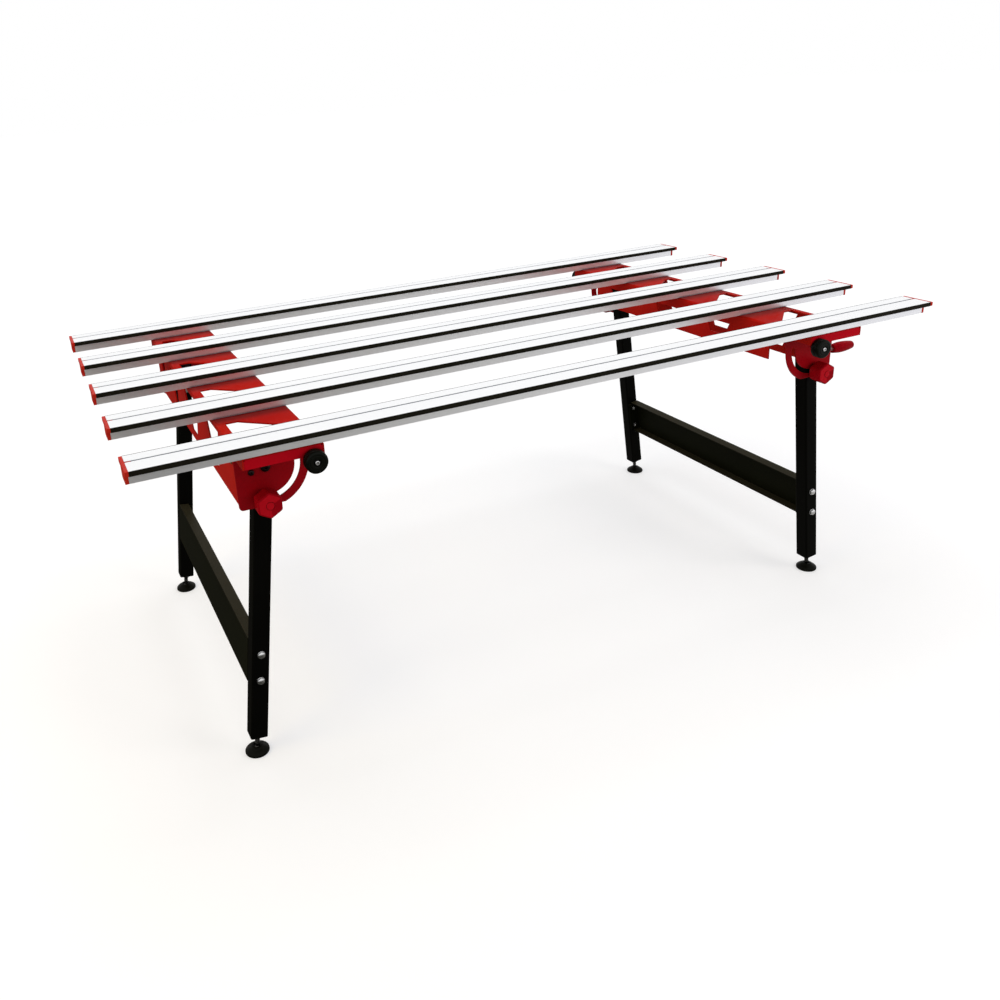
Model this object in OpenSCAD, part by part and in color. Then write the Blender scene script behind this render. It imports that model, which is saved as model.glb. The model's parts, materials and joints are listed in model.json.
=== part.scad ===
// Tile slab table: five slotted rails on two beams with fold-in leg frames.
// Millimetres. X runs along the rails, Y across them, Z up. The origin is on
// the floor under the middle of the table.

/* [View] */
// which piece to draw

/* [Rails] */
// number of rails side by side
rail_count = 5; // [3:1:7]
// distance from one rail to the next
rail_pitch = 220; // [120:5:300]
// length over both end caps
rail_len = 1800; // [1200:10:2400]
// width of the flat top
rail_w = 76; // [50:1:90]
// full height of a rail
rail_h = 29; // [24:1:45]
// thickness of the overhanging top flange
flange_h = 9; // [7:0.5:12]
// width of the narrow body under the flange
body_w = 36; // [30:1:48]
// wall thickness of the hollow body
rail_wall = 2.5; // [2:0.1:4]
// height of the rail tops above the floor
table_h = 702; // [600:1:900]
// thickness of an end cap
cap_t = 6; // [3:0.5:10]

/* [Beams] */
// sheet thickness of the beams and brackets
sheet_t = 3; // [2:0.5:4]
// outer face of the beam, measured from the middle of the table
beam_out = 709; // [600:1:850]
// width of a beam along the rails
beam_w = 147; // [120:1:200]
// depth of the inner web
beam_h = 83; // [70:1:110]
// depth of the outer web
outer_h = 118; // [90:1:140]
// how far a beam runs past the middle of the outer rails
beam_over = 15; // [10:1:40]
// drop of the turned-down lips at both ends
lip_h = 22; // [15:1:35]

/* [Legs] */
// width of the square leg tube
tube_w = 35; // [25:1:50]
// wall thickness of the leg tube
tube_t = 2; // [1.5:0.5:3]
// distance from the end of a beam to the middle of a tube
leg_inset = 97.5; // [80:0.5:130]
// distance of the fold pivot below the rail tops
pivot_drop = 84; // [70:1:100]
// distance of the fold pivot from the outer face of the beam
pivot_inset = 56; // [45:1:80]
// outward lean of an open leg in degrees
splay = 7.6; // [3:0.2:12]
// length of a foot screw between its ball and the tube
foot_out = 36.4; // [34:0.2:60]
// distance from the pivot to the lock stud
slot_r = 60.5; // [45:0.5:75]
// width of the curved slot
slot_w = 11; // [10.6:0.2:14]
// outer radius of the bracket quadrant
quad_r = 82; // [75:1:100]
// height of the channel brace
brace_h = 96; // [60:1:140]
// distance from the pivot to the top of the brace
brace_top = 371; // [250:1:450]
// depth of the brace flanges
brace_d = 23; // [15:1:32]

/* [Knobs and feet] */
// lock knob size across the corners
knob_w = 52; // [36:1:60]
// lock knob depth
knob_d = 36; // [18:1:40]
// foot disc diameter
foot_w = 49; // [35:1:70]
// rubber bumper diameter
bumper_w = 42; // [30:1:60]
// rubber bumper thickness
bumper_t = 20; // [10:1:30]
// side clamp grip diameter
grip_w = 26; // [20:1:34]
// side clamp grip length
grip_len = 64; // [40:1:80]

/* [Hidden] */
$fn = 48;

// colours
alloy = [0.86, 0.87, 0.88];
red = [0.66, 0.05, 0.09];
knob_red = [0.45, 0.02, 0.05];
black = [0.06, 0.06, 0.06];
rubber = [0.10, 0.10, 0.09];
steel = [0.75, 0.76, 0.78];
brass = [0.72, 0.55, 0.25];

// common clearances
eps = 0.01;
// radial clearance of a shaft that turns or slides
run_fit = 0.08;
// gap between two faces that move past each other
face_gap = 0.3;
// radial clearance of a bolt in a plain hole
bolt_fit = 0.3;

// rail section
rail_z = table_h - rail_h;
bar_len = rail_len - 2 * cap_t;
strip_t = 1.6;
strip_tongue = 3;
strip_tongue_h = 4;
groove_w = 5;
groove_d = 2;
groove_y = 7;
groove_plug_l = 10;
groove_plug_h = 1.2;
tee_mouth = 10.5;
tee_w = 21;
tee_h = 7;
tee_top = rail_wall + tee_h;
hollow_z = tee_top + rail_wall;
hollow_w = body_w - 2 * rail_wall;
hollow_h = rail_h - flange_h + 1 - hollow_z;

// beam
beam_in = beam_out - beam_w;
beam_mid = beam_out - beam_w / 2;
beam_len = (rail_count - 1) * rail_pitch + 2 * beam_over;
beam_end = beam_len / 2;
beam_z = rail_z - beam_h;
outer_z = rail_z - outer_h;
bend_r = 5;
bend_in_r = bend_r - sheet_t;
fold_z = rail_z - bend_r - 1;
plate_z = rail_z - sheet_t;

// windows in the top plate, one behind each rail but the last
top_window_l = 150;
top_window_out = 17;
top_window_in = 38;
top_window_slant = 62;
top_window_flat = 7;
top_window_gap = 50;
top_window_end = 13;

// windows in the webs, each with its start from the front end and its length
inner_windows = [[47, 82], [246, 82], [445, 82], [645, 82]];
inner_window_low = 25;
inner_window_high = 28;
outer_windows = [[180, 106], [367, 136], [579, 84], [734, 60]];
outer_window_low = 18;
outer_window_high = 12;

// fold pivot
pivot_x = beam_out - pivot_inset;
pivot_z = table_h - pivot_drop;

// brackets sit outside the leg tubes
leg_y = beam_end - leg_inset;
spacer_t = 3;
bracket_in = leg_y + tube_w / 2 + spacer_t;
bracket_out = bracket_in + sheet_t;
bay_w = 6;
bay_top = rail_z - lip_h;
bracket_drop = 76;
bracket_corner = 8;
bracket_neck = 24;
bracket_gap = bend_in_r + 0.3;
flange_drop = 61;
flange_back = 38;
top_flange_back = 28;
top_flange_short = 30;

// screws through the bracket flange and the outer web, each with its distance
// from the bracket plate and from the rails
screw_r = 3;
screw_spots = [[10, 36], [29, 36]];
screw_head_r = 5.5;
screw_head_h = 2.5;
screw_nut_af = 10;
screw_nut_h = 4;

// rail fixings
m8_r = 4;
m8_af = 13;
m8_head = 5.5;
m8_nut = 6.5;
tee_nut_t = 5.5;
tee_nut_l = 24;

// pivot
pivot_r = 6;
pivot_head_r = 9;
pivot_head_h = 5;
pivot_nut_h = 9;
pivot_nut_af = 19;
pivot_washer_r = 12;
pivot_washer_t = 1.7;

// lock stud and knob
stud_r = 5;
stud_head_r = 10;
stud_head_h = 5;
washer_r = 11;
washer_t = 2;
knob_neck_r = 15;
knob_neck_h = 4;
knob_gap = 0.4;
knob_cap_r = 7;
knob_bevel = 3;
knob_bore = 24;

// leg stop
stop_r = 8;
stop_down = 9;
stop_side = tube_w / 2 + stop_r + face_gap;
stop_len = 20;
stop_dx = -stop_side * cos(splay) - stop_down * sin(splay);
stop_dz = stop_side * sin(splay) - stop_down * cos(splay);
stop_head_r = 5.5;
stop_head_h = 3;

// brace
brace_t = 2.5;
bolt_pitch = 58;
brace_mid = brace_top + brace_h / 2;
brace_len = 2 * leg_y - tube_w;
tab_w = 30;
tab_cut = 6;
brace_washer_r = 8;
brace_washer_t = 1.6;
bolt_spare = 2;

// foot
plug_t = 3;
plug_in = 20;
plug_fit = 0.15;
foot_r = foot_w / 2;
foot_h = 15;
foot_edge = 4;
ball_r = 6.5;
ball_z = 8;
neck_r = 3.8;
neck_len = 13;
mouth_r = 8;
ball_down = (pivot_z - ball_z) / cos(splay);
foot_x = pivot_x + (pivot_z - ball_z) * tan(splay);
leg_len = ball_down - foot_out;
stem_in = 35;
jam_af = 17;
jam_h = 7;

// side clamp screw
side_drop = 28;
side_z = pivot_z - side_drop;
side_reach = side_drop * tan(splay) + tube_w / 2 / cos(splay) + stud_r * tan(splay);
side_tip = pivot_x + side_reach + face_gap;
side_grip_x = beam_out + 28;
weld_nut_t = 9;
weld_nut_af = 17;

// bumper
bumper_x = beam_in + bumper_w / 2;
bumper_z = rail_z - bumper_w / 2 - 8;
ear_r = bumper_w / 2 - 4;
bumper_edge = 4;
bumper_sink_r = 6;
bumper_sink_d = 3;
bumper_head_r = 4.5;

module rounded_rect(w, h, r) {
    // rectangle with rounded corners, centred
    square([w - 2 * r, h], center = true);
    square([w, h - 2 * r], center = true);
    for (sx = [-1, 1])
        for (sy = [-1, 1])
            translate([sx * (w / 2 - r), sy * (h / 2 - r)]) circle(r);
}

module along_x(len) {
    // extrudes a Y-Z outline along X, centred
    translate([-len / 2, 0, 0]) rotate([90, 0, 90]) linear_extrude(len) children();
}

module rod_y(r, y0, y1) {
    // round bar along Y between two places
    translate([0, min(y0, y1), 0]) rotate([-90, 0, 0]) cylinder(r = r, h = abs(y1 - y0));
}

module hex_y(af, y0, y1) {
    // hexagonal bar along Y between two places
    translate([0, min(y0, y1), 0])
        rotate([-90, 0, 0]) cylinder(r = af / sqrt(3), h = abs(y1 - y0), $fn = 6);
}

module right_side() {
    mirror([1, 0, 0]) children();
}

module both_sides() {
    children();
    mirror([1, 0, 0]) children();
}

module both_ends() {
    children();
    mirror([0, 1, 0]) children();
}

// Rails

function rail_y(i) = (i - (rail_count + 1) / 2) * rail_pitch;

module rail_outline() {
    difference() {
        union() {
            translate([-rail_w / 2 + strip_t, rail_h - flange_h])
                square([rail_w - 2 * strip_t, flange_h]);
            translate([-body_w / 2, 0]) square([body_w, rail_h - flange_h + eps]);
        }
        // shallow groove along the top, beside the middle
        translate([groove_y - groove_w / 2, rail_h - groove_d])
            square([groove_w, groove_d + eps]);
        // grooves for the edge strips
        for (s = [-1, 1])
            translate([s * (rail_w / 2 - strip_t), rail_h - flange_h / 2])
                square([2 * strip_tongue, strip_tongue_h], center = true);
        // fixing slot along the underside
        translate([-tee_mouth / 2, -eps]) square([tee_mouth, rail_wall + 2 * eps]);
        translate([-tee_w / 2, rail_wall]) square([tee_w, tee_h]);
        // hollow of the body
        translate([-hollow_w / 2, hollow_z]) square([hollow_w, hollow_h]);
    }
}

module rail(i) {
    color(alloy)
        translate([0, rail_y(i), rail_z]) along_x(bar_len) rail_outline();
}

module cap_outline() {
    translate([-body_w / 2, 0]) square([body_w, rail_h - flange_h + eps]);
    translate([0, rail_h - flange_h / 2]) rounded_rect(rail_w, flange_h, 1.5);
}

module rail_caps() {
    tongue_l = 12;
    tongue_fit = 0.1;
    color(red)
        for (i = [1:rail_count])
            translate([0, rail_y(i), rail_z])
                both_sides() {
                    translate([bar_len / 2 + cap_t / 2, 0, 0]) along_x(cap_t) cap_outline();
                    translate([bar_len / 2 - tongue_l / 2 + eps, 0, hollow_z + tongue_fit])
                        along_x(tongue_l)
                            translate([-hollow_w / 2 + tongue_fit, 0])
                                square([hollow_w - 2 * tongue_fit, hollow_h - 2 * tongue_fit]);
                    // narrow tongue that shows in the groove
                    translate([bar_len / 2 - groove_plug_l + eps,
                        groove_y - groove_w / 2 + tongue_fit, rail_h - groove_d + tongue_fit])
                        cube([groove_plug_l, groove_w - 2 * tongue_fit, groove_plug_h]);
                }
}

module edge_strips() {
    tongue_fit = 0.1;
    color(rubber)
        for (i = [1:rail_count])
            translate([0, rail_y(i), rail_z + rail_h - flange_h / 2])
                both_ends() {
                    translate([-bar_len / 2, rail_w / 2 - strip_t, -flange_h / 2])
                        cube([bar_len, strip_t, flange_h]);
                    translate([-bar_len / 2, rail_w / 2 - strip_t - strip_tongue + tongue_fit,
                        -strip_tongue_h / 2 + tongue_fit])
                        cube([bar_len, strip_tongue, strip_tongue_h - 2 * tongue_fit]);
                }
}

module rail_bolts() {
    color(steel)
        for (i = [1:rail_count])
            both_sides()
                translate([beam_mid, rail_y(i), 0]) {
                    translate([0, 0, plate_z - m8_head])
                        cylinder(r = m8_af / sqrt(3), h = m8_head, $fn = 6);
                    translate([0, 0, plate_z - eps])
                        cylinder(r = m8_r, h = sheet_t + rail_wall + tee_nut_t);
                }
}

module rail_nuts() {
    // nuts that slide in the slot under each rail
    color(steel)
        for (i = [1:rail_count])
            both_sides()
                translate([beam_mid, rail_y(i), rail_z + rail_wall])
                    difference() {
                        translate([-tee_nut_l / 2, -tee_w / 2 + 1, 0])
                            cube([tee_nut_l, tee_w - 2, tee_nut_t]);
                        translate([0, 0, -eps]) cylinder(r = m8_r + run_fit, h = tee_nut_t + 1);
                    }
}

// Beams

module plate_window(y_top) {
    // window with one slanted corner, seen from above
    out_x = beam_out - top_window_out;
    in_x = beam_in + top_window_in;
    y_low = max(y_top - top_window_l, top_window_end - bracket_in);
    polygon([[-out_x, y_top], [-in_x - top_window_slant - top_window_flat, y_top],
        [-in_x, y_top - top_window_slant], [-in_x, y_low], [-out_x, y_low]]);
}

module web_window(y0, y1, z0, z1) {
    // window that is wider at the top, in the Y-Z plane
    lean = min((z1 - z0) / 2, 0.36 * (y1 - y0));
    polygon([[y0, z1], [y1, z1], [y1 - lean, z0], [y0 + lean, z0]]);
}

module beam_channel() {
    // folded channel, open underneath
    translate([-beam_mid, 0, 0]) rotate([90, 0, 0]) translate([0, 0, -beam_len / 2])
        linear_extrude(beam_len)
            difference() {
                translate([0, rail_z - beam_h / 2]) {
                    square([beam_w, beam_h - 2 * bend_r], center = true);
                    translate([-beam_w / 2 + bend_r, 0])
                        square([beam_w - 2 * bend_r, beam_h / 2]);
                    for (s = [-1, 1])
                        translate([s * (beam_w / 2 - bend_r), beam_h / 2 - bend_r])
                            circle(bend_r);
                }
                translate([-beam_w / 2 + sheet_t, beam_z - 1])
                    square([beam_w - 2 * sheet_t, beam_h - bend_r + 1]);
                translate([-beam_w / 2 + bend_r, beam_z - 1])
                    square([beam_w - 2 * bend_r, beam_h - sheet_t + 1]);
                for (s = [-1, 1])
                    translate([s * (beam_w / 2 - bend_r), rail_z - bend_r])
                        circle(bend_in_r);
            }
}

module beam_top() {
    // top of the folded sheet with both bends, down to where the webs begin
    color(red)
        difference() {
            beam_channel();
            translate([-beam_out - 1, -beam_end - 1, beam_z - 1])
                cube([beam_w + 2, beam_len + 2, fold_z - beam_z + 1]);
            // windows
            translate([0, 0, plate_z - 1])
                linear_extrude(sheet_t + 2)
                    for (i = [2:rail_count]) plate_window(rail_y(i) - top_window_gap);
            // holes for the rail bolts
            for (i = [1:rail_count])
                translate([-beam_mid, rail_y(i), plate_z - 1])
                    cylinder(r = m8_r + bolt_fit, h = sheet_t + 2);
        }
}

module web_sheet(x, low_z, windows, low, high) {
    // side of the folded sheet with its windows, under the bend
    difference() {
        translate([x, -beam_end, low_z]) cube([sheet_t, beam_len, fold_z - low_z]);
        translate([x - 1, -beam_end, 0]) rotate([90, 0, 90])
            linear_extrude(sheet_t + 2)
                for (w = windows)
                    web_window(w[0], w[0] + w[1], low_z + low, rail_z - high);
        // outside the brackets only a lip goes on to the end
        both_ends()
            translate([x - 1, bracket_in, low_z - 1])
                cube([sheet_t + 2, beam_end - bracket_in + 1, bay_top - low_z + 1]);
    }
}

module beam_outer_web(clamp_y) {
    color(red)
        difference() {
            web_sheet(-beam_out, outer_z, outer_windows, outer_window_low,
                outer_window_high);
            // holes for the bracket screws
            both_ends()
                for (s = screw_spots)
                    translate([-beam_out - 1, bracket_in - s[0], rail_z - s[1]])
                        rotate([0, 90, 0]) cylinder(r = screw_r + bolt_fit, h = sheet_t + 2);
            // hole for the side clamp screw
            translate([-beam_out - 1, clamp_y, side_z])
                rotate([0, 90, 0]) cylinder(r = stud_r + bolt_fit, h = sheet_t + 2);
        }
}

module beam_inner_web() {
    color(red)
        difference() {
            web_sheet(-beam_in - sheet_t, beam_z, inner_windows, inner_window_low,
                inner_window_high);
            // bay for the folding leg
            both_ends()
                translate([-beam_in - sheet_t - 1, bracket_in - tube_w - bay_w, beam_z - 1])
                    cube([sheet_t + 2, tube_w + bay_w + 1, bay_top - beam_z + 1]);
        }
}

module beam_top_left() {
    beam_top();
}

module beam_top_right() {
    right_side() beam_top();
}

module beam_outer_web_left() {
    beam_outer_web(leg_y);
}

module beam_outer_web_right() {
    right_side() beam_outer_web(-leg_y);
}

module beam_inner_web_left() {
    beam_inner_web();
}

module beam_inner_web_right() {
    right_side() beam_inner_web();
}

module end_plates() {
    // plates that close both ends of a beam, each with an ear for a bumper
    plate_x = -beam_out + sheet_t;
    plate_w = beam_w - 2 * sheet_t;
    color(red)
        both_ends()
            difference() {
                translate([0, beam_end, 0]) rotate([90, 0, 0])
                    linear_extrude(sheet_t) {
                        translate([plate_x, rail_z - lip_h])
                            square([plate_w, lip_h - sheet_t - bracket_gap]);
                        translate([plate_x + bracket_gap, rail_z - lip_h])
                            square([plate_w - 2 * bracket_gap, lip_h - sheet_t]);
                        translate([-bumper_x, bumper_z]) circle(ear_r);
                    }
                translate([-bumper_x, 0, bumper_z])
                    rod_y(screw_r + bolt_fit, beam_end - 10, beam_end + 1);
            }
}

module end_plates_left() {
    end_plates();
}

module end_plates_right() {
    right_side() end_plates();
}

// Brackets with the curved slot

module slot_outline() {
    // arc from straight under the pivot along the leg to level with it
    from = 270 - splay;
    over = 1;
    intersection() {
        difference() {
            circle(slot_r + slot_w / 2);
            circle(slot_r - slot_w / 2);
        }
        polygon([[0, 0], 2 * quad_r * [cos(from - over), sin(from - over)],
            2 * quad_r * [cos(-45), sin(-45)], 2 * quad_r * [cos(over), sin(over)]]);
    }
    rotate(from) translate([slot_r, 0]) circle(slot_w / 2);
    translate([slot_r, 0]) circle(slot_w / 2);
}

module bracket_outline() {
    side = pivot_inset;
    inner = max(beam_w - pivot_inset, quad_r + 2);
    inner_top = beam_w - pivot_inset - sheet_t - bracket_gap;
    top = plate_z - pivot_z;
    ledge = bay_top - pivot_z - face_gap;
    low = bracket_drop;
    inset = 1.5;
    difference() {
        union() {
            // quadrant round the pivot
            intersection() {
                circle(quad_r);
                translate([-1, -low]) square([quad_r + 2, low + 2 * inset]);
            }
            // side towards the outer web, with a rounded corner
            translate([-side, -low + bracket_corner])
                square([side, low - bracket_corner + ledge]);
            translate([-side + bracket_corner, -low]) square([side - bracket_corner, low]);
            translate([-side + bracket_corner, -low + bracket_corner]) circle(bracket_corner);
            // part above the pivot, widening to the inner web
            translate([-1, -eps]) square([quad_r + 1 - inset / 2, ledge + eps]);
            polygon([[quad_r - inset, -2 * inset], [inner, bracket_neck], [inner, ledge],
                [quad_r - inset, ledge]]);
            // narrower part between the end lips
            translate([-side + sheet_t + bracket_gap, ledge - eps])
                square([side - sheet_t - bracket_gap + inner_top, top - ledge + eps]);
        }
        circle(pivot_r + bolt_fit);
        slot_outline();
        translate([stop_dx, stop_dz]) circle(screw_r + bolt_fit);
    }
}

module bracket() {
    flange_x = beam_out - sheet_t;
    flange_z = pivot_z - flange_drop;
    difference() {
        union() {
            translate([-pivot_x, bracket_out, pivot_z])
                rotate([90, 0, 0]) linear_extrude(sheet_t) bracket_outline();
            // flange against the inside of the outer web
            translate([-flange_x, bracket_in - flange_back, flange_z])
                cube([sheet_t, flange_back + eps, bay_top - face_gap - flange_z]);
            // flange under the top plate
            translate([-flange_x + bracket_gap, bracket_in - top_flange_back, plate_z - sheet_t])
                cube([beam_w - top_flange_short, top_flange_back + eps, sheet_t]);
        }
        for (s = screw_spots)
            translate([-beam_out - 1, bracket_in - s[0], rail_z - s[1]])
                rotate([0, 90, 0]) cylinder(r = screw_r + bolt_fit, h = 2 * sheet_t + 2);
        translate([-beam_out - 1, leg_y, side_z])
            rotate([0, 90, 0]) cylinder(r = stud_r + bolt_fit, h = 2 * sheet_t + 2);
    }
}

module brackets_left() {
    color(red) both_ends() bracket();
}

module brackets_right() {
    color(red) right_side() both_ends() bracket();
}

module bracket_screws() {
    color(brass)
        both_sides() both_ends()
            for (s = screw_spots)
                translate([-beam_out - screw_head_h, bracket_in - s[0], rail_z - s[1]])
                    rotate([0, 90, 0]) {
                        cylinder(r = screw_head_r, h = screw_head_h);
                        cylinder(r = screw_r, h = screw_head_h + 2 * sheet_t + screw_nut_h);
                        translate([0, 0, screw_head_h + 2 * sheet_t])
                            cylinder(r = screw_nut_af / sqrt(3), h = screw_nut_h, $fn = 6);
                    }
}

module leg_stops() {
    // screw and sleeve that the open leg leans on
    color(steel)
        both_sides() both_ends()
            translate([-pivot_x + stop_dx, 0, pivot_z + stop_dz]) {
                rod_y(stop_head_r, bracket_out, bracket_out + stop_head_h);
                rod_y(screw_r, bracket_in - stop_len - 1, bracket_out + eps);
                rod_y(stop_r, bracket_in - stop_len, bracket_in);
            }
}

module pivot_bolts() {
    inner_y = leg_y - tube_w / 2 - face_gap;
    color(steel)
        both_sides() both_ends()
            translate([-pivot_x, 0, pivot_z]) {
                rod_y(pivot_head_r, bracket_out, bracket_out + pivot_head_h);
                rod_y(pivot_r, inner_y - pivot_washer_t - pivot_nut_h - bolt_spare, bracket_out + eps);
                rod_y(pivot_washer_r, inner_y - pivot_washer_t, inner_y);
                hex_y(pivot_nut_af, inner_y - pivot_washer_t - pivot_nut_h,
                    inner_y - pivot_washer_t + eps);
            }
}

module pivot_spacers() {
    color(black)
        both_sides() both_ends()
            translate([-pivot_x, 0, pivot_z])
                difference() {
                    rod_y(pivot_washer_r, bracket_in - spacer_t + face_gap, bracket_in);
                    rod_y(pivot_r + run_fit, bracket_in - spacer_t, bracket_in + 1);
                }
}

module bumpers() {
    color(rubber)
        both_sides() both_ends()
            translate([-bumper_x, beam_end, bumper_z])
                difference() {
                    rotate([-90, 0, 0])
                        rotate_extrude() {
                            square([bumper_w / 2, bumper_t - bumper_edge]);
                            square([bumper_w / 2 - bumper_edge, bumper_t]);
                            translate([bumper_w / 2 - bumper_edge, bumper_t - bumper_edge])
                                circle(bumper_edge);
                        }
                    rod_y(screw_r + run_fit, -1, bumper_t + 1);
                    rod_y(bumper_sink_r, bumper_t - bumper_sink_d, bumper_t + 1);
                }
}

module bumper_screws() {
    color(steel)
        both_sides() both_ends()
            translate([-bumper_x, beam_end, bumper_z]) {
                rod_y(bumper_head_r, bumper_t - bumper_sink_d, bumper_t + 1);
                rod_y(screw_r, -sheet_t - screw_nut_h - bolt_spare, bumper_t - bumper_sink_d + eps);
                hex_y(screw_nut_af, -sheet_t - screw_nut_h, -sheet_t);
            }
}

// Side clamp screws

module side_place(end) {
    // front: on the right beam, back: on the left beam
    if (end == "front") mirror([1, 0, 0]) mirror([0, 1, 0]) children();
    else children();
}

module clamp_nut() {
    translate([-beam_out + 2 * sheet_t, leg_y, side_z]) rotate([0, 90, 0])
        difference() {
            cylinder(r = weld_nut_af / sqrt(3), h = weld_nut_t, $fn = 6);
            translate([0, 0, -1]) cylinder(r = stud_r + run_fit, h = weld_nut_t + 2);
        }
}

module clamp_nuts() {
    color(steel) {
        side_place("front") clamp_nut();
        side_place("back") clamp_nut();
    }
}

module side_stud() {
    color(steel)
        translate([-side_grip_x - grip_len / 2, leg_y, side_z]) rotate([0, 90, 0])
            cylinder(r = stud_r, h = side_grip_x + grip_len / 2 - side_tip);
}

module side_grip() {
    // barrel that narrows towards its outer end
    r = grip_w / 2;
    len = grip_len;
    color(knob_red)
        translate([-side_grip_x, leg_y, side_z]) rotate([0, -90, 0])
            difference() {
                rotate_extrude()
                    polygon([[0, 0], [r - 4, 0], [r - 2.6, 1.4], [r - 1.8, 0.1 * len],
                        [r - 0.5, 0.25 * len], [r, 0.4 * len], [r - 0.2, 0.52 * len],
                        [r - 0.9, 0.66 * len], [r - 2, 0.8 * len], [r - 3.4, len - 4],
                        [r - 4.2, len - 1.4], [r - 5.6, len], [0, len]]);
                translate([0, 0, -1]) cylinder(r = stud_r, h = len / 2 + 1);
            }
}

// Leg frames, drawn at the left with the pivot at the origin

module leg_place() {
    translate([-pivot_x, 0, pivot_z]) rotate([0, splay, 0]) children();
}

module tube() {
    round_r = tube_w / 2 - 0.5;
    difference() {
        intersection() {
            translate([0, leg_y, -leg_len]) linear_extrude(leg_len + tube_w)
                difference() {
                    rounded_rect(tube_w, tube_w, 4);
                    rounded_rect(tube_w - 2 * tube_t, tube_w - 2 * tube_t, 2.5);
                }
            // the top end is rounded about the pivot
            union() {
                rod_y(round_r, leg_y - tube_w, leg_y + tube_w);
                translate([-tube_w, leg_y - tube_w, -leg_len - 1])
                    cube([2 * tube_w, 2 * tube_w, leg_len + 1 - 4]);
            }
        }
        rod_y(pivot_r + run_fit, leg_y - tube_w, leg_y + tube_w);
        translate([0, 0, -slot_r]) rod_y(stud_r + run_fit, leg_y - tube_w, leg_y + tube_w);
        for (s = [-1, 1])
            translate([0, 0, -brace_mid + s * bolt_pitch / 2])
                rod_y(m8_r + bolt_fit, leg_y - tube_w, leg_y + tube_w);
    }
}

module tubes() {
    color(black) leg_place() both_ends() tube();
}

module tubes_left() {
    tubes();
}

module tubes_right() {
    right_side() tubes();
}

module brace() {
    color(black)
        leg_place()
            difference() {
                translate([-tube_w / 2, 0, -brace_top - brace_h]) {
                    translate([0, -brace_len / 2, 0]) cube([brace_t, brace_len, brace_h]);
                    for (z = [0, brace_h - brace_t])
                        translate([0, -brace_len / 2, z]) cube([brace_d, brace_len, brace_t]);
                    for (y = [-brace_len / 2, brace_len / 2 - brace_t])
                        translate([brace_t - eps, y, tab_cut])
                            cube([tab_w, brace_t, brace_h - 2 * tab_cut]);
                }
                for (s = [-1, 1])
                    translate([0, 0, -brace_mid + s * bolt_pitch / 2])
                        rod_y(m8_r + bolt_fit, -leg_y, leg_y);
            }
}

module brace_left() {
    brace();
}

module brace_right() {
    right_side() brace();
}

module brace_bolts() {
    outer_y = leg_y + tube_w / 2;
    head_y = outer_y + brace_washer_t;
    color(steel)
        leg_place() both_ends()
            for (s = [-1, 1])
                translate([0, 0, -brace_mid + s * bolt_pitch / 2]) {
                    hex_y(m8_af, head_y, head_y + m8_head);
                    rod_y(brace_washer_r, outer_y, head_y + eps);
                    rod_y(m8_r, leg_y - tube_w / 2 - brace_t - m8_nut - bolt_spare, outer_y + eps);
                }
}

module brace_bolts_left() {
    brace_bolts();
}

module brace_bolts_right() {
    right_side() brace_bolts();
}

module brace_nuts() {
    inner_y = leg_y - tube_w / 2 - brace_t;
    color(steel)
        leg_place() both_ends()
            for (s = [-1, 1])
                translate([0, 0, -brace_mid + s * bolt_pitch / 2])
                    difference() {
                        hex_y(m8_af, inner_y - m8_nut, inner_y);
                        rod_y(m8_r + run_fit, inner_y - m8_nut - 1, inner_y + 1);
                    }
}

module brace_nuts_left() {
    brace_nuts();
}

module brace_nuts_right() {
    right_side() brace_nuts();
}

module tube_plugs() {
    inside = tube_w - 2 * tube_t - 2 * plug_fit;
    color(black)
        leg_place() both_ends()
            translate([0, leg_y, -leg_len])
                difference() {
                    union() {
                        translate([0, 0, -plug_t]) linear_extrude(plug_t)
                            rounded_rect(tube_w, tube_w, 4);
                        translate([0, 0, -eps]) linear_extrude(plug_in)
                            rounded_rect(inside, inside, 2.5);
                    }
                    translate([0, 0, -plug_t - 1])
                        cylinder(r = stud_r + run_fit, h = plug_t + plug_in + 2);
                }
}

module tube_plugs_left() {
    tube_plugs();
}

module tube_plugs_right() {
    right_side() tube_plugs();
}

module lock_studs() {
    inner_y = leg_y - tube_w / 2;
    color(steel)
        leg_place() both_ends()
            translate([0, 0, -slot_r]) {
                rod_y(stud_head_r, inner_y - stud_head_h, inner_y);
                rod_y(stud_r, inner_y - eps, bracket_out + washer_t + knob_bore - 2);
            }
}

module lock_studs_left() {
    lock_studs();
}

module lock_studs_right() {
    right_side() lock_studs();
}

module lock_washers() {
    color(steel)
        leg_place() both_ends()
            translate([0, 0, -slot_r])
                difference() {
                    rod_y(washer_r, bracket_out + face_gap, bracket_out + face_gap + washer_t);
                    rod_y(stud_r + run_fit, bracket_out, bracket_out + washer_t + 1);
                }
}

module lock_washers_left() {
    lock_washers();
}

module lock_washers_right() {
    right_side() lock_washers();
}

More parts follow.
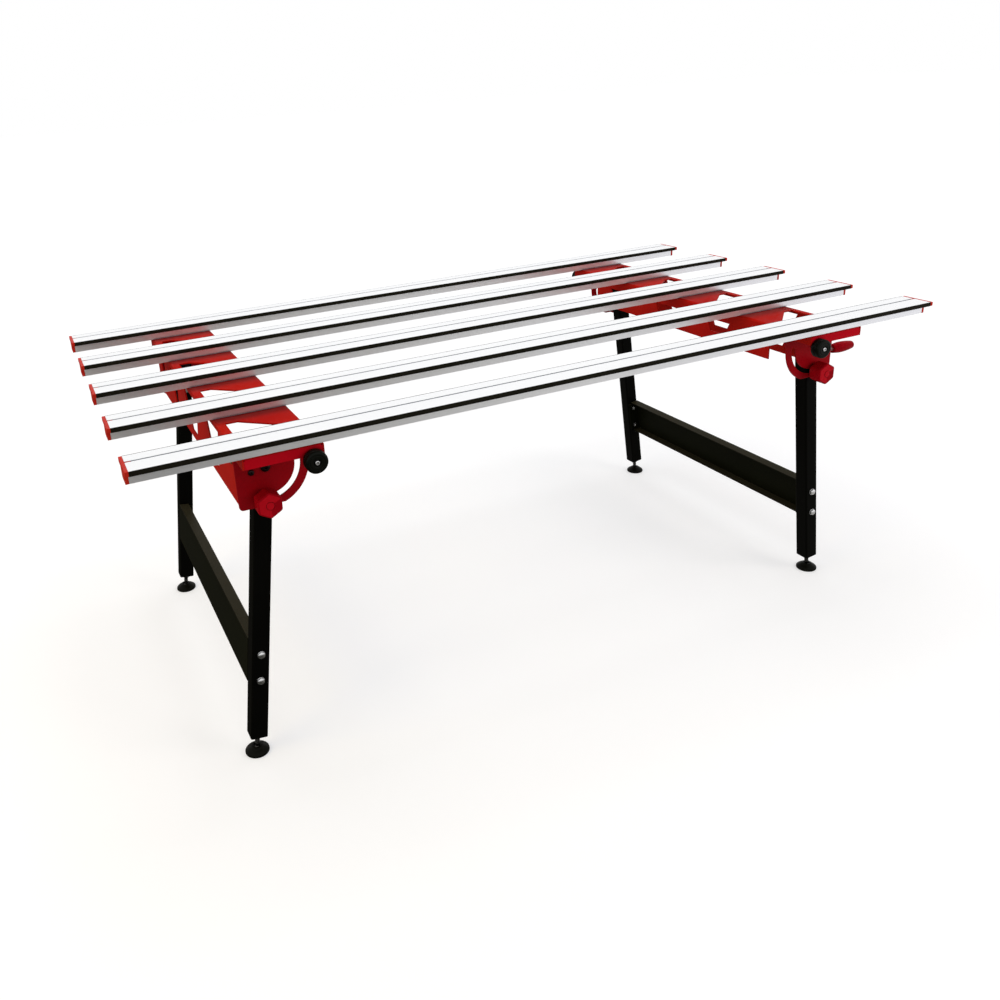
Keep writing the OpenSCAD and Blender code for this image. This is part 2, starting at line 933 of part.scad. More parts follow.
module knob_left(s) {
    // hexagonal knob with a round neck, s picks the back or the front
    y0 = bracket_out + face_gap + washer_t + knob_gap;
    hex_af = knob_w * cos(30);
    color(knob_red)
        leg_place() mirror([0, s < 0 ? 1 : 0, 0])
            translate([0, 0, -slot_r])
                difference() {
                    union() {
                        rod_y(knob_neck_r, y0, y0 + knob_neck_h + eps);
                        intersection() {
                            rotate([0, 30 - splay, 0])
                                hex_y(hex_af, y0 + knob_neck_h, y0 + knob_d);
                            translate([0, y0, 0]) rotate([-90, 0, 0])
                                rotate_extrude()
                                    polygon([[0, 0], [knob_w / 2 - knob_bevel, 0],
                                        [knob_w / 2, 2 * knob_bevel + knob_neck_h],
                                        [knob_w / 2, knob_d - knob_bevel],
                                        [knob_w / 2 - knob_bevel, knob_d], [0, knob_d]]);
                        }
                        rod_y(knob_cap_r, y0 + knob_d - eps, y0 + knob_d + 1);
                    }
                    rod_y(stud_r + run_fit, y0 - 1, y0 + knob_bore - 1);
                }
}

module knob_back_left() {
    knob_left(1);
}

module knob_front_left() {
    knob_left(-1);
}

module knob_back_right() {
    right_side() knob_left(1);
}

module knob_front_right() {
    right_side() knob_left(-1);
}

// Feet

module stem_left(s) {
    // screw with a ball end and a jam nut under the tube plug
    plug_low = leg_len + plug_t;
    color(steel)
        leg_place() mirror([0, s < 0 ? 1 : 0, 0])
            translate([0, leg_y, 0]) {
                translate([0, 0, -ball_down]) sphere(ball_r);
                translate([0, 0, -ball_down]) cylinder(r = neck_r, h = neck_len + eps);
                translate([0, 0, -ball_down + neck_len])
                    cylinder(r = stud_r, h = ball_down - neck_len - leg_len + stem_in);
                translate([0, 0, -plug_low - face_gap - jam_h])
                    cylinder(r = jam_af / sqrt(3), h = jam_h, $fn = 6);
            }
}

module stem_back_left() {
    stem_left(1);
}

module stem_front_left() {
    stem_left(-1);
}

module stem_back_right() {
    right_side() stem_left(1);
}

module stem_front_right() {
    right_side() stem_left(-1);
}

module disc_left(s) {
    // domed disc with a ball socket, flat on the floor
    color(rubber)
        mirror([0, s < 0 ? 1 : 0, 0])
            translate([-foot_x, leg_y, 0])
                difference() {
                    rotate_extrude() {
                        square([foot_r - 1, foot_edge]);
                        translate([0, 1]) square([foot_r, foot_edge - 1]);
                        translate([foot_r - 1, 1]) circle(1);
                        polygon([[0, foot_edge - eps], [foot_r, foot_edge - eps],
                            [foot_r - 3, foot_edge + 4], [foot_r - 8, foot_h - 3],
                            [foot_r - 13, foot_h], [0, foot_h]]);
                    }
                    translate([0, 0, ball_z]) sphere(ball_r + face_gap);
                    translate([0, 0, ball_z])
                        rotate_extrude()
                            polygon([[0, 0], [neck_r + 1.6, 0], [neck_r + 1.6, ball_r - 2],
                                [mouth_r, foot_h - ball_z + 1], [0, foot_h - ball_z + 1]]);
                }
}

module disc_back_left() {
    disc_left(1);
}

module disc_front_left() {
    disc_left(-1);
}

module disc_back_right() {
    right_side() disc_left(1);
}

module disc_front_right() {
    right_side() disc_left(-1);
}

rail(1);  // rail_1
rail(2);  // rail_2
rail(3);  // rail_3
rail(4);  // rail_4
rail(5);  // rail_5
rail_caps();
edge_strips();
rail_bolts();
rail_nuts();
beam_top_left();
beam_outer_web_left();
beam_inner_web_left();
beam_top_right();
beam_outer_web_right();
beam_inner_web_right();
end_plates_left();
end_plates_right();
brackets_left();
brackets_right();
bracket_screws();
leg_stops();
pivot_bolts();
pivot_spacers();
bumpers();
bumper_screws();
clamp_nuts();
side_place("front") side_stud();  // side_stud_front
side_place("front") side_grip();  // side_grip_front
side_place("back") side_stud();  // side_stud_back
side_place("back") side_grip();  // side_grip_back
tubes_left();
tubes_right();
brace_left();
brace_right();
brace_bolts_left();
brace_bolts_right();
brace_nuts_left();
brace_nuts_right();
tube_plugs_left();
tube_plugs_right();
lock_studs_left();
lock_studs_right();
lock_washers_left();
lock_washers_right();
knob_front_left();
knob_back_left();
knob_front_right();
knob_back_right();
stem_front_left();
stem_back_left();
stem_front_right();
stem_back_right();
disc_front_left();
disc_back_left();
disc_front_right();
disc_back_right();
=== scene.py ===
# %% [markdown]
# # A tile slab table
# The table carries large tile slabs while they are cut. Five light rails lie on two
# red folded beams, and a black leg frame folds in under each beam.
# This lesson dresses the finished CAD model: it gives every node a finish, and it
# models again the small pieces whose edges and threads the plain solids lack.

# %% Load the frame
import json
import math
import bmesh
import bpy
from mathutils import Matrix, Vector


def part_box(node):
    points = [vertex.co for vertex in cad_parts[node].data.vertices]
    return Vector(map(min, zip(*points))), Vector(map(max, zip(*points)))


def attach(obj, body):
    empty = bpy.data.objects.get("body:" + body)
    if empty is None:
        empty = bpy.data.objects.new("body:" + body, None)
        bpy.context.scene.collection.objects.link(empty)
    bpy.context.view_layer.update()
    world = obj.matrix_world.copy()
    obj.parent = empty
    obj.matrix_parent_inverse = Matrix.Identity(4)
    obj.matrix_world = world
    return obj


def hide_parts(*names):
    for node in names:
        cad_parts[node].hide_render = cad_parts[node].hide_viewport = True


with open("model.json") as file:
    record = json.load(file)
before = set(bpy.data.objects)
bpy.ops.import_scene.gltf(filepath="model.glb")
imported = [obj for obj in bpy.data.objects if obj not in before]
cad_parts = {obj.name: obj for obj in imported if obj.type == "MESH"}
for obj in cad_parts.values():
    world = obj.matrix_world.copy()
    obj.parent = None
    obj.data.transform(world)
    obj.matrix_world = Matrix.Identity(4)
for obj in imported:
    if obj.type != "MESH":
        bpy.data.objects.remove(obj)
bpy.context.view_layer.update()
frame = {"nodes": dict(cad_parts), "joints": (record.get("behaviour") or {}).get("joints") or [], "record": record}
joints = {joint["name"]: joint for joint in frame["joints"]}
MM = 0.001
X, Y = 0, 1
SIDES = {"left": -1, "right": 1}
ENDS = {"front": -1, "back": 1}

# %% [markdown]
# ## The camera
# The photograph was taken from near the left front corner, above the rails, with a
# fairly wide lens. A camera can be aimed by eye, but here its place, its three angles
# and its lens were worked out from the rails, whose edges are parallel in the real
# table and run to one vanishing point in the picture. The small shift says that the
# picture was trimmed off centre.

# %% Camera
PICTURE_PIXELS = 1000
FOCAL_PIXELS = 919.5
SENSOR_WIDTH = 36
camera_data = bpy.data.cameras.new("camera")
camera = bpy.data.objects.new("camera", camera_data)
bpy.context.scene.collection.objects.link(camera)
camera.location = (-1.0026, -1.8770, 1.2686)
camera.rotation_euler = [math.radians(a) for a in (68.8433, 3.4252, -23.8552)]
camera_data.sensor_width = SENSOR_WIDTH
camera_data.lens = FOCAL_PIXELS * SENSOR_WIDTH / PICTURE_PIXELS
camera_data.shift_x = 0.0977
camera_data.shift_y = -0.0760
camera_data.clip_end = 100
bpy.context.scene.camera = camera
print("lens", round(camera_data.lens, 2), "mm")

# %% [markdown]
# ## Handling meshes in code
# By hand, a piece is clicked, Tab opens edit mode and faces are picked with the mouse.
# A script does the same with small helpers: one makes a piece the only selected one,
# one opens it for editing, one picks what passes a test and one closes up its mesh.
# Everything is deselected first, because an operator acts on all that is selected.

# %% Select, edit and close up
SAME_POINT = 1e-6


def take(piece):
    """Leave edit mode and select this piece alone."""
    if bpy.context.object and bpy.context.object.mode != "OBJECT":
        bpy.ops.object.mode_set(mode="OBJECT")
    bpy.ops.object.select_all(action="DESELECT")
    piece.select_set(True)
    bpy.context.view_layer.objects.active = piece


def edit(piece):
    """Open a piece in edit mode."""
    take(piece)
    bpy.ops.object.mode_set(mode="EDIT")


def pick(piece, kind, test):
    """Select the edges or faces that pass a test."""
    bpy.ops.mesh.select_mode(type=kind)
    bpy.ops.mesh.select_all(action="DESELECT")
    mesh = bmesh.from_edit_mesh(piece.data)
    for part in {"EDGE": mesh.edges, "FACE": mesh.faces}[kind]:
        if test(part):
            part.select_set(True)
    mesh.select_flush_mode()
    bmesh.update_edit_mesh(piece.data)


def close_up(piece, angle=35):
    """Merge doubled points, turn the faces outwards and smooth the gentle edges."""
    edit(piece)
    bpy.ops.mesh.select_all(action="SELECT")
    bpy.ops.mesh.remove_doubles(threshold=SAME_POINT)
    bpy.ops.mesh.normals_make_consistent(inside=False)
    bpy.ops.object.mode_set(mode="OBJECT")
    bpy.ops.object.shade_smooth_by_angle(angle=math.radians(angle))
    return piece


# %% [markdown]
# ## Turned pieces
# Knob necks, discs, sleeves and screws come off a lathe. Blender could revolve a drawn
# profile, but here a disc is added and its top face is extruded and resized ring by
# ring, which keeps the piece closed and needs no drawn curve.
# With six sides the same steps give a hexagonal prism.

# %% Turn a piece from rings of (radius, height) in millimetres
def name_it(name):
    """Name the newest object and its mesh."""
    piece = bpy.context.object
    piece.name = piece.data.name = name
    return piece


def apply_place():
    """Put the place, turn and size of the selected objects into their meshes."""
    bpy.ops.object.transform_apply(location=True, rotation=True, scale=True)


def turned(name, rings, sides=40):
    """Build a closed piece upwards, ring by ring."""
    take(camera)
    radius, height = rings[0]
    bpy.ops.mesh.primitive_circle_add(vertices=sides, radius=radius * MM,
                                      fill_type="NGON", location=(0, 0, height * MM))
    piece = name_it(name)
    apply_place()
    edit(piece)
    bpy.ops.mesh.select_mode(type="FACE")
    bpy.ops.mesh.select_all(action="SELECT")
    for next_radius, next_height in rings[1:]:
        bpy.ops.mesh.extrude_region_move(
            TRANSFORM_OT_translate={"value": (0, 0, (next_height - height) * MM)})
        factor = next_radius / radius
        bpy.ops.transform.resize(value=(factor, factor, 1),
                                 center_override=(0, 0, next_height * MM))
        radius, height = next_radius, next_height
    return close_up(piece)


# %% [markdown]
# ## Rings, holes and hexagons
# A washer is a small rectangle with rounded corners that is spun round the axis.
# A hexagonal head starts as a prism, and the part of it that also lies inside a cone
# is kept, which cuts the round chamfer that real heads have. The chamfer leaves a
# round flat of 0.47 times the head's width and drops 0.6 times as far as it runs.
# A Boolean modifier does that, and it is applied at once.

# %% Spin a ring, cut with a tool, chamfer a hexagon
FLAT_RADIUS, CHAMFER_SLOPE = 0.47, 0.6


def ring(name, inner, outer, low, high, edge):
    """A washer or sleeve between two radii and two heights, with rounded edges."""
    take(camera)
    middle = Vector(((inner + outer) / 2, 0, (low + high) / 2)) * MM
    bpy.ops.mesh.primitive_plane_add(size=1, location=middle,
                                     rotation=(math.pi / 2, 0, 0))
    piece = name_it(name)
    piece.scale = ((outer - inner) * MM, (high - low) * MM, 1)
    apply_place()
    edit(piece)
    bpy.ops.mesh.select_all(action="SELECT")
    bpy.ops.mesh.bevel(offset=edge * MM, segments=2, affect="VERTICES")
    bpy.ops.mesh.delete(type="ONLY_FACE")
    bpy.ops.mesh.select_all(action="SELECT")
    bpy.ops.mesh.spin(steps=40, angle=math.tau, center=(0, 0, 0), axis=(0, 0, 1))
    return close_up(piece)


def cut(piece, tool, operation="DIFFERENCE"):
    """Cut a tool out of a piece, or keep what lies in both, and drop the tool."""
    take(piece)
    modifier = piece.modifiers.new("cut", "BOOLEAN")
    modifier.operation = operation
    modifier.object = tool
    bpy.ops.object.modifier_apply(modifier=modifier.name)
    bpy.data.objects.remove(tool)
    return close_up(piece)


def drilled(piece, radius, low, high, sides):
    """Sink a round bore or, with six sides, the socket for a hexagon key."""
    return cut(piece, turned("bore", [(radius, low), (radius, high)], sides))


def hexagon(name, across, low, high, chamfer_low=False, chamfer_high=True):
    """A nut or a head. Its faces are across millimetres apart."""
    corner, narrow = across / math.sqrt(3), across * FLAT_RADIUS
    wide, drop = corner + 0.5, (corner - narrow) * CHAMFER_SLOPE
    prism = turned(name, [(corner, low), (corner, high)], sides=6)
    cone = [(narrow, low), (wide, low + drop)] if chamfer_low else [(wide, low - 1)]
    cone += [(wide, high - drop), (narrow, high)] if chamfer_high else [(wide, high + 1)]
    return cut(prism, turned("chamfer cone", cone, 48), "INTERSECT")


# %% [markdown]
# ## Threads
# A true thread is one long helix. Where it is only seen from a step away, plain rings
# at the thread's pitch look the same, stay closed and need far fewer faces, so the
# thread is turned as a row of small crests.
# Each size has its radius and its pitch, and a crest rises, stays and falls at the
# given parts of the pitch.

# %% Rings for a thread, and a shaft with a thread on its inner end
METRIC = {"M6": (3, 1.0), "M8": (4, 1.25), "M10": (5, 1.5), "M12": (6, 1.5)}
DEPTH, RISE, STAY, FALL = 0.55, 0.35, 0.5, 0.85
SHOULDER, JUST_UNDER = 0.1, 0.01


def thread(size, low, high):
    """The rings of a thread between two heights."""
    radius, pitch = METRIC[size]
    root, rings, z = radius - DEPTH * pitch, [], low
    while z + pitch <= high:
        rings += [(root, z), (radius, z + RISE * pitch), (radius, z + STAY * pitch),
                  (root, z + FALL * pitch)]
        z += pitch
    return rings + [(root, max(z, high - JUST_UNDER))]


def threaded(name, size, length, turns, top, sides=24):
    """A shaft of a length that ends at a height, with its lowest part threaded."""
    radius = METRIC[size][0]
    return turned(name, thread(size, -length, turns - length)
                  + [(radius, turns + SHOULDER - length), (radius, top)], sides)


# %% [markdown]
# ## Put pieces in their places
# Every small piece is modelled once at the origin, standing up along Z. Then it is
# copied, each copy is turned and moved to its place, and the move is applied, so the
# finished object sits at the origin with its place in its mesh, as a CAD node does.
# Where the copies go is read from the loose parts of the CAD node they stand for.

# %% Find the loose parts of a node
def spots(node):
    """The middle and the size of each loose part of a CAD node."""
    mesh = bmesh.new()
    mesh.from_mesh(frame["nodes"][node].data)
    bmesh.ops.remove_doubles(mesh, verts=mesh.verts, dist=SAME_POINT)
    rest, found = set(mesh.verts), []
    while rest:
        group, border = set(), [rest.pop()]
        while border:
            corner = border.pop()
            group.add(corner)
            for link in corner.link_edges:
                other = link.other_vert(corner)
                if other in rest:
                    rest.remove(other)
                    border.append(other)
        low = Vector([min(v.co[i] for v in group) for i in range(3)])
        high = Vector([max(v.co[i] for v in group) for i in range(3)])
        found.append(((low + high) / 2, high - low))
    mesh.free()
    return sorted(found, key=lambda spot: [round(v, 3) for v in spot[0]])


def span(node):
    """The size of one loose part of a node, in millimetres."""
    return spots(node)[0][1] / MM


# %% Join, copy and place
def gather(name, pieces):
    """Join pieces, such as a head and a shaft, to one piece."""
    take(pieces[0])
    for piece in pieces:
        piece.select_set(True)
    if len(pieces) > 1:
        bpy.ops.object.join()
    return name_it(name)


def copies(master, name, matrices):
    """Copy a piece to several places and join the copies."""
    placed = []
    for matrix in matrices:
        take(master)
        bpy.ops.object.duplicate(linked=False)
        copy = bpy.context.object
        copy.matrix_world = matrix
        apply_place()
        placed.append(copy)
    return gather(name, placed)


def stand(place, axis):
    """Stand a piece at a place so that it points along an axis, with its Y side up."""
    turn = Vector(axis).to_track_quat("Z", "Y").to_matrix().to_4x4()
    return Matrix.Translation(place) @ turn


def outwards(node, axis):
    """A place and an outward direction at the outer end of each loose part of a node."""
    found = []
    for centre, size in spots(node):
        way = Vector((0, 0, 0))
        way[axis] = math.copysign(1, centre[axis])
        found.append(stand(centre + way * size[axis] / 2, way))
    return found


# %% Dress a piece, and fit a piece to a node
def dress(piece, body, finish, *nodes, slot=None):
    """Give a piece its material and its body, and hide the CAD nodes that it stands for."""
    piece.data.materials.clear()
    piece.data.materials.append(finishes[finish])
    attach(piece, body)
    if nodes:
        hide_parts(*nodes)
    low, high = piece.bound_box[0], piece.bound_box[6]
    print(piece.name, len(piece.data.polygons), "faces,",
          [round((b - a) / MM, 1) for a, b in zip(low, high)], "mm")
    return piece


def fit(master, name, node, axis, body, finish, slot=None):
    """Put copies where the loose parts of a node end, dress them and drop the master."""
    dress(copies(master, name, outwards(node, axis)), body, finish, node, slot=slot)
    bpy.data.objects.remove(master)


# %% [markdown]
# ## Effects that several finishes share
# Real surfaces are never one flat colour. Five effects do most of the work here: soft
# clouds that vary a colour, the fine skin of powder coating, long streaks left by an
# extrusion die, rounded edges that catch the light and a painted shade in the creases.
# A sixth, a painted light on what looks up, is for the black pieces.
# Each is a node group, built once, so that every finish uses it with its own values.
# Four helpers add a node, link a list of nodes, start a group and place a group.

# %% Helpers for node trees
def add(tree, kind, values=None, **settings):
    """Add a node, then set its settings and the values of its inputs."""
    node = tree.nodes.new(kind)
    for key, value in settings.items():
        setattr(node, key, value)
    for key, value in (values or {}).items():
        node.inputs[key].default_value = value
    return node


def wire(tree, *wires):
    """Link nodes. Each wire names a node, its output, the next node and its input."""
    for source, output, target, given in wires:
        tree.links.new(source.outputs[output], target.inputs[given])


def effect(name, inputs, **outputs):
    """Start a group that takes numbers and gives out masks, heights or normals."""
    tree = bpy.data.node_groups.new(name, "ShaderNodeTree")
    for title, value in inputs.items():
        socket = tree.interface.new_socket(name=title, in_out="INPUT",
                                           socket_type="NodeSocketFloat")
        socket.default_value = value
    for title, kind in outputs.items():
        tree.interface.new_socket(name=title, in_out="OUTPUT",
                                  socket_type="NodeSocket" + kind)
    return tree, tree.nodes.new("NodeGroupInput"), tree.nodes.new("NodeGroupOutput")


def use(tree, group, **values):
    """Place a group in a tree, with values of its own."""
    return add(tree, "ShaderNodeGroup", values, node_tree=group)


# %% [markdown]
# ### Clouds, skin and streaks
# Paint and plastic are a little lighter here and darker there, powder coating has the
# relief of orange peel, and an extruded rail has fine lines along its length. All
# three are noise. For the lines it is stretched along X, which is how the rails lie.

# %% Clouds: a soft mask between 0 and 1
clouds, given, result = effect("clouds", {"Scale": 8.0, "Contrast": 0.5}, Mask="Float")
place = add(clouds, "ShaderNodeTexCoord")
noise = add(clouds, "ShaderNodeTexNoise", {"Detail": 4.0, "Roughness": 0.6})
spread = add(clouds, "ShaderNodeMath", {1: 0.5}, operation="SUBTRACT")
stretch = add(clouds, "ShaderNodeMath", operation="MULTIPLY")
centre = add(clouds, "ShaderNodeMath", {1: 0.5}, operation="ADD", use_clamp=True)
wire(clouds, (place, "Object", noise, "Vector"), (given, "Scale", noise, "Scale"),
     (noise, "Fac", spread, 0), (spread, 0, stretch, 0), (given, "Contrast", stretch, 1),
     (stretch, 0, centre, 0), (centre, 0, result, "Mask"))

# %% Skin: the height of a fine orange-peel surface
skin, given, result = effect("skin", {"Scale": 700.0}, Height="Float")
place = add(skin, "ShaderNodeTexCoord")
fine = add(skin, "ShaderNodeTexNoise", {"Detail": 2.0, "Roughness": 0.5})
wire(skin, (place, "Object", fine, "Vector"), (given, "Scale", fine, "Scale"),
     (fine, "Fac", result, "Height"))

# %% Streaks: lines drawn out along the rails
streaks, given, result = effect("streaks", {"Fineness": 600.0}, Mask="Float")
place = add(streaks, "ShaderNodeTexCoord")
stretched = add(streaks, "ShaderNodeMapping", {"Scale": (0.004, 1.0, 1.0)})
lines = add(streaks, "ShaderNodeTexNoise", {"Detail": 3.0, "Roughness": 0.7})
wire(streaks, (place, "Object", stretched, "Vector"),
     (stretched, "Vector", lines, "Vector"), (given, "Fineness", lines, "Scale"),
     (lines, "Fac", result, "Mask"))
print("noise effects", [tree.name for tree in (clouds, skin, streaks)])

# %% [markdown]
# ### Edges, painted shade and painted top light
# Handled edges are worn a little lighter, grooves and corners get a painted shade, and
# what looks up gets a painted light. These masks come from the shape itself: from a
# rounded normal beside the flat one, from how much a point is closed in, and from how far
# a face looks upwards. So they fit every piece without an image texture.

# %% Soft edges: a rounded normal, and a mask that is bright along the edges
soft_edges, given, result = effect("soft edges", {"Radius": 0.0006, "Gain": 3.0},
                                   Normal="Vector", Edge="Float")
rounded = add(soft_edges, "ShaderNodeBevel", samples=4)
flat = add(soft_edges, "ShaderNodeNewGeometry")
facing = add(soft_edges, "ShaderNodeVectorMath", operation="DOT_PRODUCT")
apart = add(soft_edges, "ShaderNodeMath", {0: 1.0}, operation="SUBTRACT")
gain = add(soft_edges, "ShaderNodeMath", operation="MULTIPLY", use_clamp=True)
wire(soft_edges, (given, "Radius", rounded, "Radius"), (rounded, "Normal", facing, 0),
     (flat, "Normal", facing, 1), (facing, "Value", apart, 1), (apart, 0, gain, 0),
     (given, "Gain", gain, 1), (gain, 0, result, "Edge"),
     (rounded, "Normal", result, "Normal"))

# %% Painted shade in creases: a mask that is bright where little light reaches
painted_shade, given, result = effect("painted_shade", {"Distance": 0.004, "Gain": 1.3}, Mask="Float")
reach = add(painted_shade, "ShaderNodeAmbientOcclusion", samples=6)
closed = add(painted_shade, "ShaderNodeMath", {0: 1.0}, operation="SUBTRACT")
gain = add(painted_shade, "ShaderNodeMath", operation="MULTIPLY", use_clamp=True)
wire(painted_shade, (given, "Distance", reach, "Distance"), (reach, "AO", closed, 1),
     (closed, 0, gain, 0), (given, "Gain", gain, 1), (gain, 0, result, "Mask"))

# %% Painted top light: a mask that is bright on faces that look up, broken up by clouds
painted_top_light, given, result = effect("painted_top_light", {"Gain": 1.0}, Mask="Float")
lie = add(painted_top_light, "ShaderNodeNewGeometry")
height = add(painted_top_light, "ShaderNodeSeparateXYZ")
facing_up = add(painted_top_light, "ShaderNodeMapRange", {"From Min": 0.55, "From Max": 0.95})
patches = use(painted_top_light, clouds, Scale=14.0, Contrast=0.9)
uneven = add(painted_top_light, "ShaderNodeMapRange", {"To Min": 0.6, "To Max": 1.0})
amount = add(painted_top_light, "ShaderNodeMath", operation="MULTIPLY")
gain = add(painted_top_light, "ShaderNodeMath", operation="MULTIPLY", use_clamp=True)
wire(painted_top_light, (lie, "Normal", height, "Vector"), (height, "Z", facing_up, "Value"),
     (patches, "Mask", uneven, "Value"), (facing_up, "Result", amount, 0),
     (uneven, "Result", amount, 1), (amount, 0, gain, 0), (given, "Gain", gain, 1),
     (gain, 0, result, "Mask"))
print("shape effects", [tree.name for tree in (soft_edges, painted_shade, painted_top_light)])

# %% [markdown]
# ## The finishes
# Each finish is a Principled shader. What is the same all over it, such as metal, is
# set on the shader itself, and what changes over the surface comes from the effects:
# two tones of the colour mixed by clouds, a third tone on the edges, a painted shade in
# the creases, a roughness that wanders a little and a small bump.
# One function lays out this tree, because every finish here needs the same parts.

# %% One layout for all finishes
COLOUR_A, COLOUR_B, MIXED = 6, 7, 2
# The painted shade in creases reaches 5 mm and darkens the dark tone to 0.3 of it.
PAINTED_SHADE_REACH, PAINTED_SHADE_DEPTH = 0.005, 0.3
finishes = {}


def layer(tree, mask, below, above):
    """Mix two colours by a mask. A colour is plain, or comes out of a node."""
    node = add(tree, "ShaderNodeMix", data_type="RGBA")
    tree.links.new(mask, node.inputs["Factor"])
    for socket, colour in ((COLOUR_A, below), (COLOUR_B, above)):
        if isinstance(colour, bpy.types.NodeSocket):
            tree.links.new(colour, node.inputs[socket])
        else:
            node.inputs[socket].default_value = (*colour, 1)
    return node.outputs[MIXED]


def finish(name, dark, light, edge, rough, cloud_scale, bump, metal=0.0, specular=0.5,
           contrast=1.2, peel=None, drawn=None, depth=0.0002, radius=0.0006,
           edge_gain=2.0, painted_shade_colour=None, painted_shade_gain=1.0, top_light=None):
    """Lay out a material. Its grain is peel or, on a drawn piece, streaks."""
    material = bpy.data.materials.new(name)
    material.use_nodes = True
    tree = material.node_tree
    shader = tree.nodes["Principled BSDF"]
    shader.inputs["Metallic"].default_value = metal
    shader.inputs["Specular IOR Level"].default_value = specular
    soft = use(tree, soft_edges, Radius=radius, Gain=edge_gain)
    cloud = use(tree, clouds, Scale=cloud_scale, Contrast=contrast)
    grain = use(tree, streaks, Fineness=drawn) if drawn else use(tree, skin, Scale=peel)
    painted_shade_node = use(tree, painted_shade, Distance=PAINTED_SHADE_REACH, Gain=painted_shade_gain)
    tone = cloud.outputs["Mask"]
    if drawn:
        both = add(tree, "ShaderNodeMath", operation="MULTIPLY")
        wire(tree, (cloud, "Mask", both, 0), (grain, "Mask", both, 1))
        tone = both.outputs[0]
    colour = layer(tree, tone, dark, light)
    colour = layer(tree, soft.outputs["Edge"], colour, edge)
    # Painted shade: the colour darkens in creases and hollows, where little light reaches.
    colour = layer(tree, painted_shade_node.outputs["Mask"], colour,
                   painted_shade_colour or [PAINTED_SHADE_DEPTH * part for part in dark])
    # Painted top light: faces that look up get a lighter colour.
    if top_light:
        top_light_node = use(tree, painted_top_light, Gain=1.0)
        colour = layer(tree, top_light_node.outputs["Mask"], colour, top_light)
    tree.links.new(colour, shader.inputs["Base Color"])
    wander = add(tree, "ShaderNodeMapRange", {"To Min": rough[0], "To Max": rough[1]})
    relief = add(tree, "ShaderNodeBump", {"Strength": bump, "Distance": depth})
    wire(tree, (grain if drawn else cloud, 0, wander, "Value"),
         (wander, "Result", shader, "Roughness"), (grain, 0, relief, "Height"),
         (soft, "Normal", relief, "Normal"), (relief, "Normal", shader, "Normal"))
    finishes[name] = material


# %% [markdown]
# ## Metals
# The rails are bare extruded alloy with a satin skin, and the bolts, studs and nuts
# are plated steel, bright, dark or blackened. Eight small screws are brass. Metal gets
# its looks from what it mirrors, so the colours are light and the roughness matters
# most. The rails are a little less metallic, as their satin skin is.

# %% Alloy, steel and brass
# The rails get a strong, cool painted shade, so the groove on top shows as a dark line.
finish("rail_alloy", (0.91, 0.92, 0.935), (0.98, 0.98, 0.985), (1.0, 1.0, 1.0),
       (0.30, 0.44), metal=0.75, specular=0.2, drawn=900.0, cloud_scale=3.0,
       contrast=1.6, bump=0.08, depth=0.0001, radius=0.0004, edge_gain=1.0,
       painted_shade_colour=(0.20, 0.22, 0.26), painted_shade_gain=2.2)
METAL = dict(metal=1.0, peel=1500.0, radius=0.0003)
for name, dark, light, edge, rough, cloud_scale, bump in (
        ("zinc_steel", (0.62, 0.62, 0.63), (0.80, 0.80, 0.79), (0.90, 0.90, 0.90),
         (0.16, 0.30), 60.0, 0.05),
        ("dark_steel", (0.020, 0.012, 0.012), (0.045, 0.028, 0.028),
         (0.12, 0.10, 0.10), (0.30, 0.45), 60.0, 0.06),
        ("blackened_steel", (0.05, 0.048, 0.042), (0.11, 0.105, 0.095),
         (0.30, 0.29, 0.27), (0.18, 0.34), 60.0, 0.05),
        ("brass_screw", (0.50, 0.36, 0.13), (0.68, 0.52, 0.24), (0.85, 0.72, 0.42),
         (0.22, 0.36), 80.0, 0.05)):
    finish(name, dark, light, edge, rough, cloud_scale, bump, **METAL)
print("metals", sorted(finishes))

# %% [markdown]
# ## Paints
# The beams, end plates and brackets have a red powder coating, and the legs and
# braces a black one. The red is set in lit and shaded copies: it leans to orange on the
# beams for painted warm light from the left, it is a lighter crimson on the end plates
# for painted light, and a darker one on the brackets for painted shade. The braces are
# a little lighter than the tubes, so each has its own values.

# %% Red and black powder coating
RED = dict(rough=(0.28, 0.40), peel=650.0, bump=0.10, depth=0.0003, radius=0.0008,
           edge_gain=1.0)
# The beams' red leans to orange: painted warm light from the left.
finish("red_paint", (0.35, 0.004, 0.004), (0.47, 0.013, 0.005), (0.60, 0.04, 0.015),
       specular=0.02, cloud_scale=7.0, contrast=1.4, **RED)
# The end plates' red is a lighter crimson: painted light.
finish("lit_plate_paint", (0.40, 0.0012, 0.008), (0.54, 0.004, 0.012), (0.66, 0.02, 0.02),
       specular=0.02, cloud_scale=9.0, contrast=1.4, **RED)
# The brackets' red is darker: painted shade under the end plates and rails.
finish("shaded_bracket_paint", (0.25, 0.0010, 0.005), (0.36, 0.004, 0.008), (0.55, 0.02, 0.015),
       specular=0.03, cloud_scale=9.0, contrast=1.6, **RED)
BLACK = dict(rough=(0.34, 0.48), specular=0.02, cloud_scale=6.0, peel=800.0, bump=0.12,
             depth=0.0003, radius=0.0012, edge_gain=0.7)
# Both blacks get a lighter painted top light on faces that look up.
finish("black_paint", (0.0012, 0.0012, 0.0009), (0.0032, 0.0032, 0.0024),
       (0.022, 0.021, 0.016), top_light=(0.025, 0.022, 0.013), **BLACK)
finish("brace_paint", (0.0035, 0.0038, 0.0016), (0.0075, 0.0080, 0.0036),
       (0.030, 0.028, 0.018), top_light=(0.030, 0.026, 0.014), **BLACK)
print("paints", [name for name in finishes if name.endswith("_paint")])

# %% [markdown]
# ## Plastics and rubber
# Caps, knobs and grips are moulded red plastic, the plugs and spacers black plastic,
# and the strips, bumpers and feet rubber. A mould leaves a finer grain than paint, and
# rubber is rougher than plastic. None is coated, so all mirror very little.

